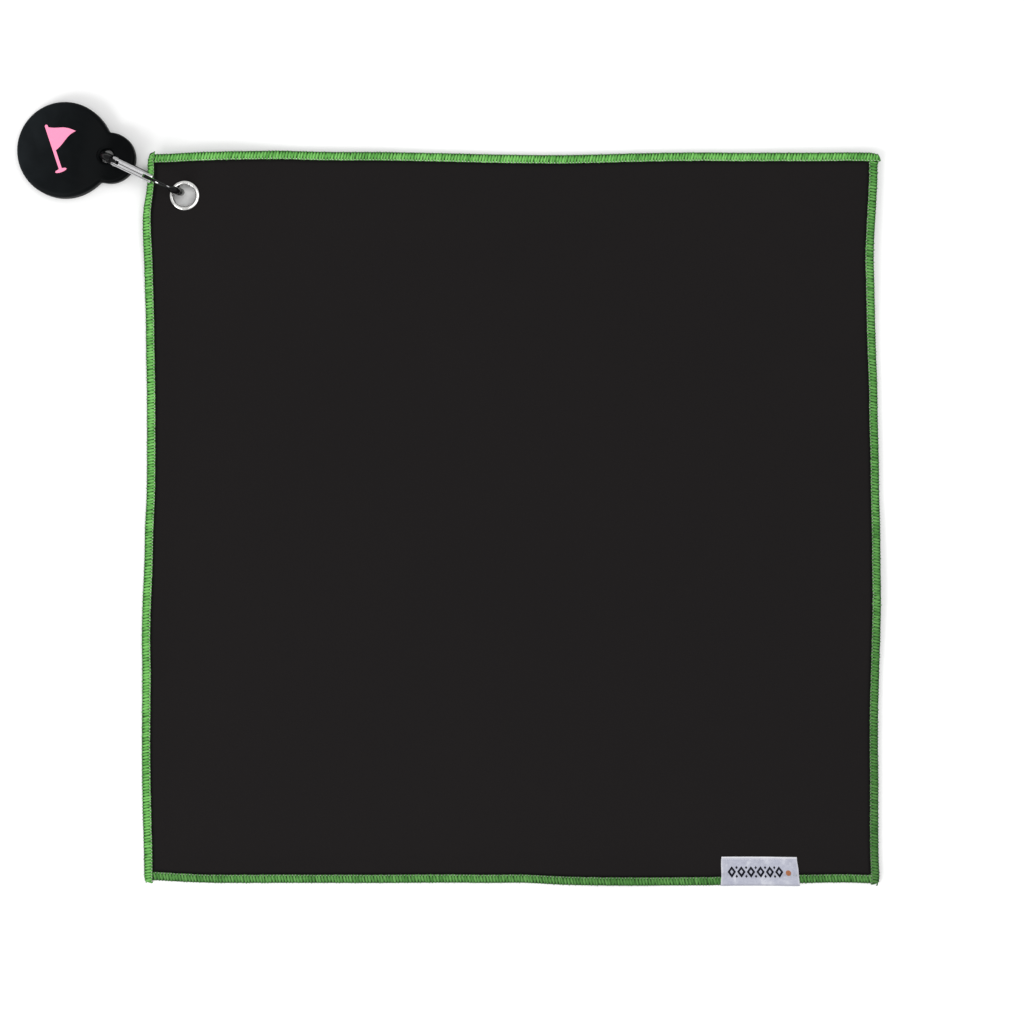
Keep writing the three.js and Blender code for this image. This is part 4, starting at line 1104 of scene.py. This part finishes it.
def gate_piece():
    """A bar fork-cut at both ends, flat on top with broken edges and two fine seams; n is across it, w up."""
    us = [PIVOT_U + 2.1 * math.sin(rad(t)) for t in (-88, -80, -70, -60, -48, -36, -24, -12, 0)] + list(np.linspace(-13, 7.95, 24)) + [8.20, 8.38, 8.50]
    pts = []
    # n as a share of the half width, and the depth below the top; the seams are the two narrow strips
    upper = [(-1.0, 0.75), (-0.985, 0.60), (-0.74, 0.06), (-0.68, 0.0), (-0.10, 0.0), (-0.07, 0.12), (0.06, 0.12), (0.09, 0.0), (0.63, 0.0), (0.655, 0.12), (0.765, 0.17), (0.79, 0.14), (0.985, 0.60), (1.0, 0.75)]
    lower = [(1.0, 0.75), (0.93, 0.35), (0.70, 0.04), (0.60, 0.0), (-0.60, 0.0), (-0.70, 0.04), (-0.93, 0.35), (-1.0, 0.75)]
    seams = {5, 9}
    nsec = len(upper) + len(lower)
    for u in us:
        f = max(0.0, (u - PIVOT_U) / (8.5 - PIVOT_U))
        half_n = 2.3 + (2.25 - 2.3) * f
        half_w = 2.1 + (1.9 - 2.1) * f
        if u < PIVOT_U:
            half_w = math.sqrt(max(0.0, 2.1 ** 2 - (u - PIVOT_U) ** 2))
            half_n = 2.3 - 0.25 * (1 - half_w / 2.1) ** 2
        if u > 8.0:
            k = (u - 7.95) / 0.55
            half_n -= 0.35 * k * k
            half_w -= 0.45 * k * k
        g = min(1.0, half_w / 1.9)
        row = [(u, CARA_W + half_w - d * g, half_n * x) for x, d in upper] + [(u, CARA_W - half_w + d * g, half_n * x) for x, d in lower]
        pts.append(np.array(row))
    p = np.concatenate(pts)
    n = len(us)
    faces = grid_faces(n, nsec, wrap=True).tolist() + [list(range(nsec))[::-1], [(n - 1) * nsec + i for i in range(nsec)]]
    # the seam strips take the near-black material: painted shade in the grooves
    index = [1 if i % nsec in seams else 0 for i in range((n - 1) * nsec)] + [0, 0]
    g = mesh_object("gate_bar", p, faces, [gate_mat, groove_shade_mat], indices=index)
    def box(x0, x1, half):
        v = [(x, y, z) for x in (x0, x1) for y in (CARA_W - 4, CARA_W + 4) for z in (-half, half)]
        f = [[0, 1, 3, 2], [4, 6, 7, 5], [0, 4, 5, 1], [2, 3, 7, 6], [0, 2, 6, 4], [1, 5, 7, 3]]
        return mesh_object("cut_tmp", v, f, gate_mat, smooth=False)
    boolean(g, box(-20, -11.7, 1.02), "DIFFERENCE")
    boolean(g, box(3.1, 14, 1.02), "DIFFERENCE")
    boolean(g, rod("hole_tmp", PIVOT_U, CARA_W, 0.95, 8, 32, gate_mat), "DIFFERENCE")
    return g


gate = gate_piece()
smooth_by_angle(gate, 24)
gate.data.transform(CARA)

rp = [(0.02, -2.62), (0.55, -2.60), (0.9, -2.54), (1.1, -2.46), (1.16, -2.40), (1.1, -2.35), (0.65, -2.34), (0.65, 2.34), (1.1, 2.35), (1.16, 2.40), (1.1, 2.46), (0.9, 2.54), (0.55, 2.60), (0.02, 2.62)]
rivet = lathe("gate_rivet_pin", rp, 40, gate_mat, (PIVOT_U, CARA_W, 0.0), sharp=45)
rivet.data.transform(CARA)

# ------------------------------------------------------------------ the puck, in its own frame
PX, PR, PT, EX, ER, ET, HOLE, HOLE_X, HOLE_Y = -24.95, 26.5, 8.0, 0.95, 13.9, 5.5, 3.7, -0.99, 0.59
PUCK = Matrix.Translation(Vector((-222.44, 198.80, 4.45)) * MM) @ Matrix.Rotation(rad(-10.2), 4, "Z") @ Matrix.Rotation(rad(-4.9), 4, "Y")


def puck_depth(x, y):
    a, b = PR - np.hypot(x - PX, y), ER - np.hypot(x - EX, y)
    return (a + b + np.sqrt((a - b) ** 2 + 1.1)) / 2 - 0.0


def puck_top(x, d):
    t = step01((x - (PX + 9)) / 17)
    full = PT + (ET - PT) * t
    r = 2.6 - 0.8 * t
    dd = np.clip(d, 0, r)
    return full - r + np.sqrt(np.maximum(0, r * r - (r - dd) ** 2))


def build_puck():
    lo, hi = np.full(1, PX - PR - 0.2), np.full(1, EX + ER + 0.2)
    def root(a, b):
        for _ in range(50):
            mid = (a + b) / 2
            if puck_depth(mid, 0.0) > 0:
                b = mid
            else:
                a = mid
        return (a + b) / 2
    x_lo = root(PX - PR - 1.0, PX)
    x_hi = root(EX + ER + 1.0, EX)
    xs = list(x_lo + (PX - x_lo) * (1 - np.cos(np.radians(np.linspace(1.2, 90, 44)))))
    xs += list(PX + PR * np.sin(np.radians(np.linspace(2.2, 50, 22))))
    xs += list(np.arange(xs[-1] + 0.7, 1.0, 0.7))
    xs += list(EX + (x_hi - EX) * np.sin(np.radians(np.linspace(3, 88.8, 34))))
    xs = np.array(sorted(set(np.round(xs, 5))))
    th = np.radians(np.linspace(-90, 90, 73))
    eta = np.sin(th)
    rows = []
    for x in xs:
        a, b = 0.0, 30.0
        for _ in range(40):
            mid = (a + b) / 2
            if puck_depth(x, mid) > 0:
                a = mid
            else:
                b = mid
        hb = max(b, 0.02)
        y = eta * hb
        d = np.where(np.abs(eta) > 0.99999, 0.0, puck_depth(x, y))
        z = puck_top(x, d)
        row = [(x, yy, zz) for yy, zz in zip(y, z)]
        c = min(0.7, hb * 0.6)
        wall = float(z[0])
        low = [(x, hb, wall * 0.6), (x, hb, 0.75), (x, hb - 0.09 * min(1, hb), 0.42), (x, hb - 0.28 * min(1, hb), 0.17), (x, hb - c, 0.0)]
        row = row + low + [(x, yy, 0.0) for yy in np.linspace(0.8, -0.8, 5) * (hb - c)] + [(x, -p[1], p[2]) for p in low[::-1]]
        rows.append(row)
    n, m = len(rows), len(rows[0])
    pts = np.array(rows).reshape(-1, 3)
    faces = grid_faces(n, m, wrap=True).tolist() + [list(range(m))[::-1], [(n - 1) * m + i for i in range(m)]]
    p = mesh_object("puck_moulding", pts, faces, silicone_mat)
    hole = [(0.01, -3), (HOLE + 0.65, -3), (HOLE + 0.65, 0.02), (HOLE + 0.40, 0.12), (HOLE + 0.14, 0.36), (HOLE, 0.75), (HOLE, 2.6), (HOLE, ET - 1.35), (HOLE + 0.06, ET - 1.0), (HOLE + 0.24, ET - 0.62), (HOLE + 0.55, ET - 0.28), (HOLE + 0.95, ET - 0.08), (HOLE + 1.6, ET + 0.02), (HOLE + 1.6, 12), (0.01, 12)]
    cutter = lathe("hole_tmp", hole, 72, silicone_mat, (HOLE_X, HOLE_Y, 0), sharp=None)
    boolean(p, cutter, "DIFFERENCE")
    smooth_by_angle(p, 42)
    # painted light: the disc is painted a shade lighter than the eye, matched to how the light falls on it
    x = np.empty(len(p.data.vertices) * 3, np.float32)
    p.data.vertices.foreach_get("co", x)
    attribute(p, "painted_light_gradient", np.interp(x[0::3] / MM, [-54, -42, -28, -12, 6], [2.1, 1.45, 0.95, 0.55, 0.40]))
    p.data.transform(PUCK)
    return p


puck = build_puck()


def puck_patch(name, outline, material, rise=0.055, fine=1.0):
    """A thin print on the puck's face: the outline (x, y) as one closed slab that follows the surface."""
    o = np.array(outline, float)
    bm = bmesh.new()
    vs = [bm.verts.new((x * MM, y * MM, 0)) for x, y in o]
    face = bm.faces.new(vs)
    bmesh.ops.triangulate(bm, faces=[face])
    for _ in range(2):
        bmesh.ops.subdivide_edges(bm, edges=[e for e in bm.edges if e.calc_length() > 1.6 * fine * MM], cuts=1, use_grid_fill=True)
        bmesh.ops.triangulate(bm, faces=bm.faces)
    bmesh.ops.recalc_face_normals(bm, faces=bm.faces)
    if sum(f.normal.z * f.calc_area() for f in bm.faces) < 0:
        bmesh.ops.reverse_faces(bm, faces=bm.faces)
    ret = bmesh.ops.extrude_face_region(bm, geom=bm.faces[:])
    top = [v for v in ret["geom"] if isinstance(v, bmesh.types.BMVert)]
    tops = set(top)
    for v in bm.verts:
        x, y = v.co.x / MM, v.co.y / MM
        base = float(puck_top(np.array(x), puck_depth(np.array(x), np.array(y))))
        v.co.z = (base + (rise if v in tops else -0.05)) * MM
    bmesh.ops.recalc_face_normals(bm, faces=bm.faces)
    me = bpy.data.meshes.new(name)
    bm.to_mesh(me)
    bm.free()
    me.materials.append(material)
    me.transform(PUCK)
    obj = bpy.data.objects.new(name, me)
    scene.collection.objects.link(obj)
    smooth_by_angle(obj, 40)
    return obj


def flag_outlines():
    """A generic golf flag: a leaning pole, its pennant and a small cup mark. (x, y) in the puck's frame."""
    foot = np.array([-24.1, -11.6])
    head = np.array([-36.5, 10.9])
    d = (head - foot) / np.linalg.norm(head - foot)
    nrm = np.array([d[1], -d[0]])
    if nrm[0] < 0:
        nrm = -nrm
    hw = 0.85
    pole = [foot - nrm * hw, foot + nrm * hw]
    pole += [head + nrm * hw * math.cos(t) + d * hw * math.sin(t) for t in np.linspace(0, math.pi, 9)]
    length = 14.6
    top = head - d * 0.6
    base = head - d * 14.6
    tip = (top + base) / 2 + nrm * length - d * 0.4
    pennant = []
    for t in np.linspace(0, 1, 9):
        pennant.append(top + (tip - top) * t + d * (0.9 * math.sin(math.pi * t) - 0.5 * math.sin(2 * math.pi * t)))
    for t in np.linspace(0, 1, 9)[1:]:
        pennant.append(tip + (base - tip) * t + d * (0.5 * math.sin(math.pi * t) + 0.5 * math.sin(2 * math.pi * t)))
    pennant = [p + nrm * 0.2 for p in pennant]
    cup = []
    for t in np.linspace(0, 2 * math.pi, 32, endpoint=False):
        cup.append(foot - d * 0.2 + nrm * 3.3 * math.cos(t) * 1.0 + d * 1.0 * math.sin(t))
    return pole, pennant, cup


pole, pennant, cup = flag_outlines()
flag_parts = [puck_patch("print_flag_pole", pole, print_mat), puck_patch("print_flag_pennant", pennant, print_mat, rise=0.062), puck_patch("print_flag_cup", cup, print_mat, rise=0.058)]

# ------------------------------------------------------------------ bodies and what stands for what
for side, obj in edges.items():
    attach(obj, NODE_BODY[f"edge_{side}"])
    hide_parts(f"edge_{side}")
for obj, node, slot in ((cloth, "towel_cloth", "cloth"), (label, "label", "label"), (eyelet, "eyelet", "nickel"), (carabiner, "carabiner_body", "black_anodised"), (gate, "gate", "gate_metal"), (rivet, "gate_rivet", "gate_metal"), (puck, "magnet_puck", "silicone")):
    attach(obj, NODE_BODY[node])
    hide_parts(node)
for obj in (navy, copper, label_stitches):
    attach(obj, "towel")
for obj in flag_parts:
    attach(obj, "puck")

# ------------------------------------------------------------------ floor, lights, camera
bpy.ops.mesh.primitive_plane_add(size=8, location=(0, 0, -0.0001))
floor = bpy.context.object
floor.name = "table_top"
floor.data.materials.append(floor_mat)

world = bpy.data.worlds.new("studio")
scene.world = world
world.use_nodes = True
bg = world.node_tree.nodes["Background"]
bg.inputs["Color"].default_value = (1, 1, 1, 1)
bg.inputs["Strength"].default_value = 0.72


def area(name, at, size, power, look=(0, 0, 0)):
    light = bpy.data.lights.new(name, "AREA")
    light.energy, light.size = power, size
    obj = bpy.data.objects.new(name, light)
    obj.location = at
    obj.rotation_euler = (Vector(look) - Vector(at)).to_track_quat("-Z", "Y").to_euler()
    scene.collection.objects.link(obj)
    return obj


area("key", (-1.15, -1.0, 1.35), 0.9, 18.4)
area("overhead", (0.38, 0.05, 2.2), 1.2, 18.5)

cam_data = bpy.data.cameras.new("camera")
cam_data.sensor_width = 36.0
cam_data.lens = 85.03
cam = bpy.data.objects.new("camera", cam_data)
cam.location = (0.0, 0.0032, 1.344)
cam.rotation_euler = (0, 0, 0)
cam_data.clip_start, cam_data.clip_end = 0.01, 50
scene.collection.objects.link(cam)
scene.camera = cam
scene.view_settings.view_transform = "Standard"
scene.view_settings.look = "None"
scene.view_settings.exposure = 0.0

bpy.context.view_layer.update()
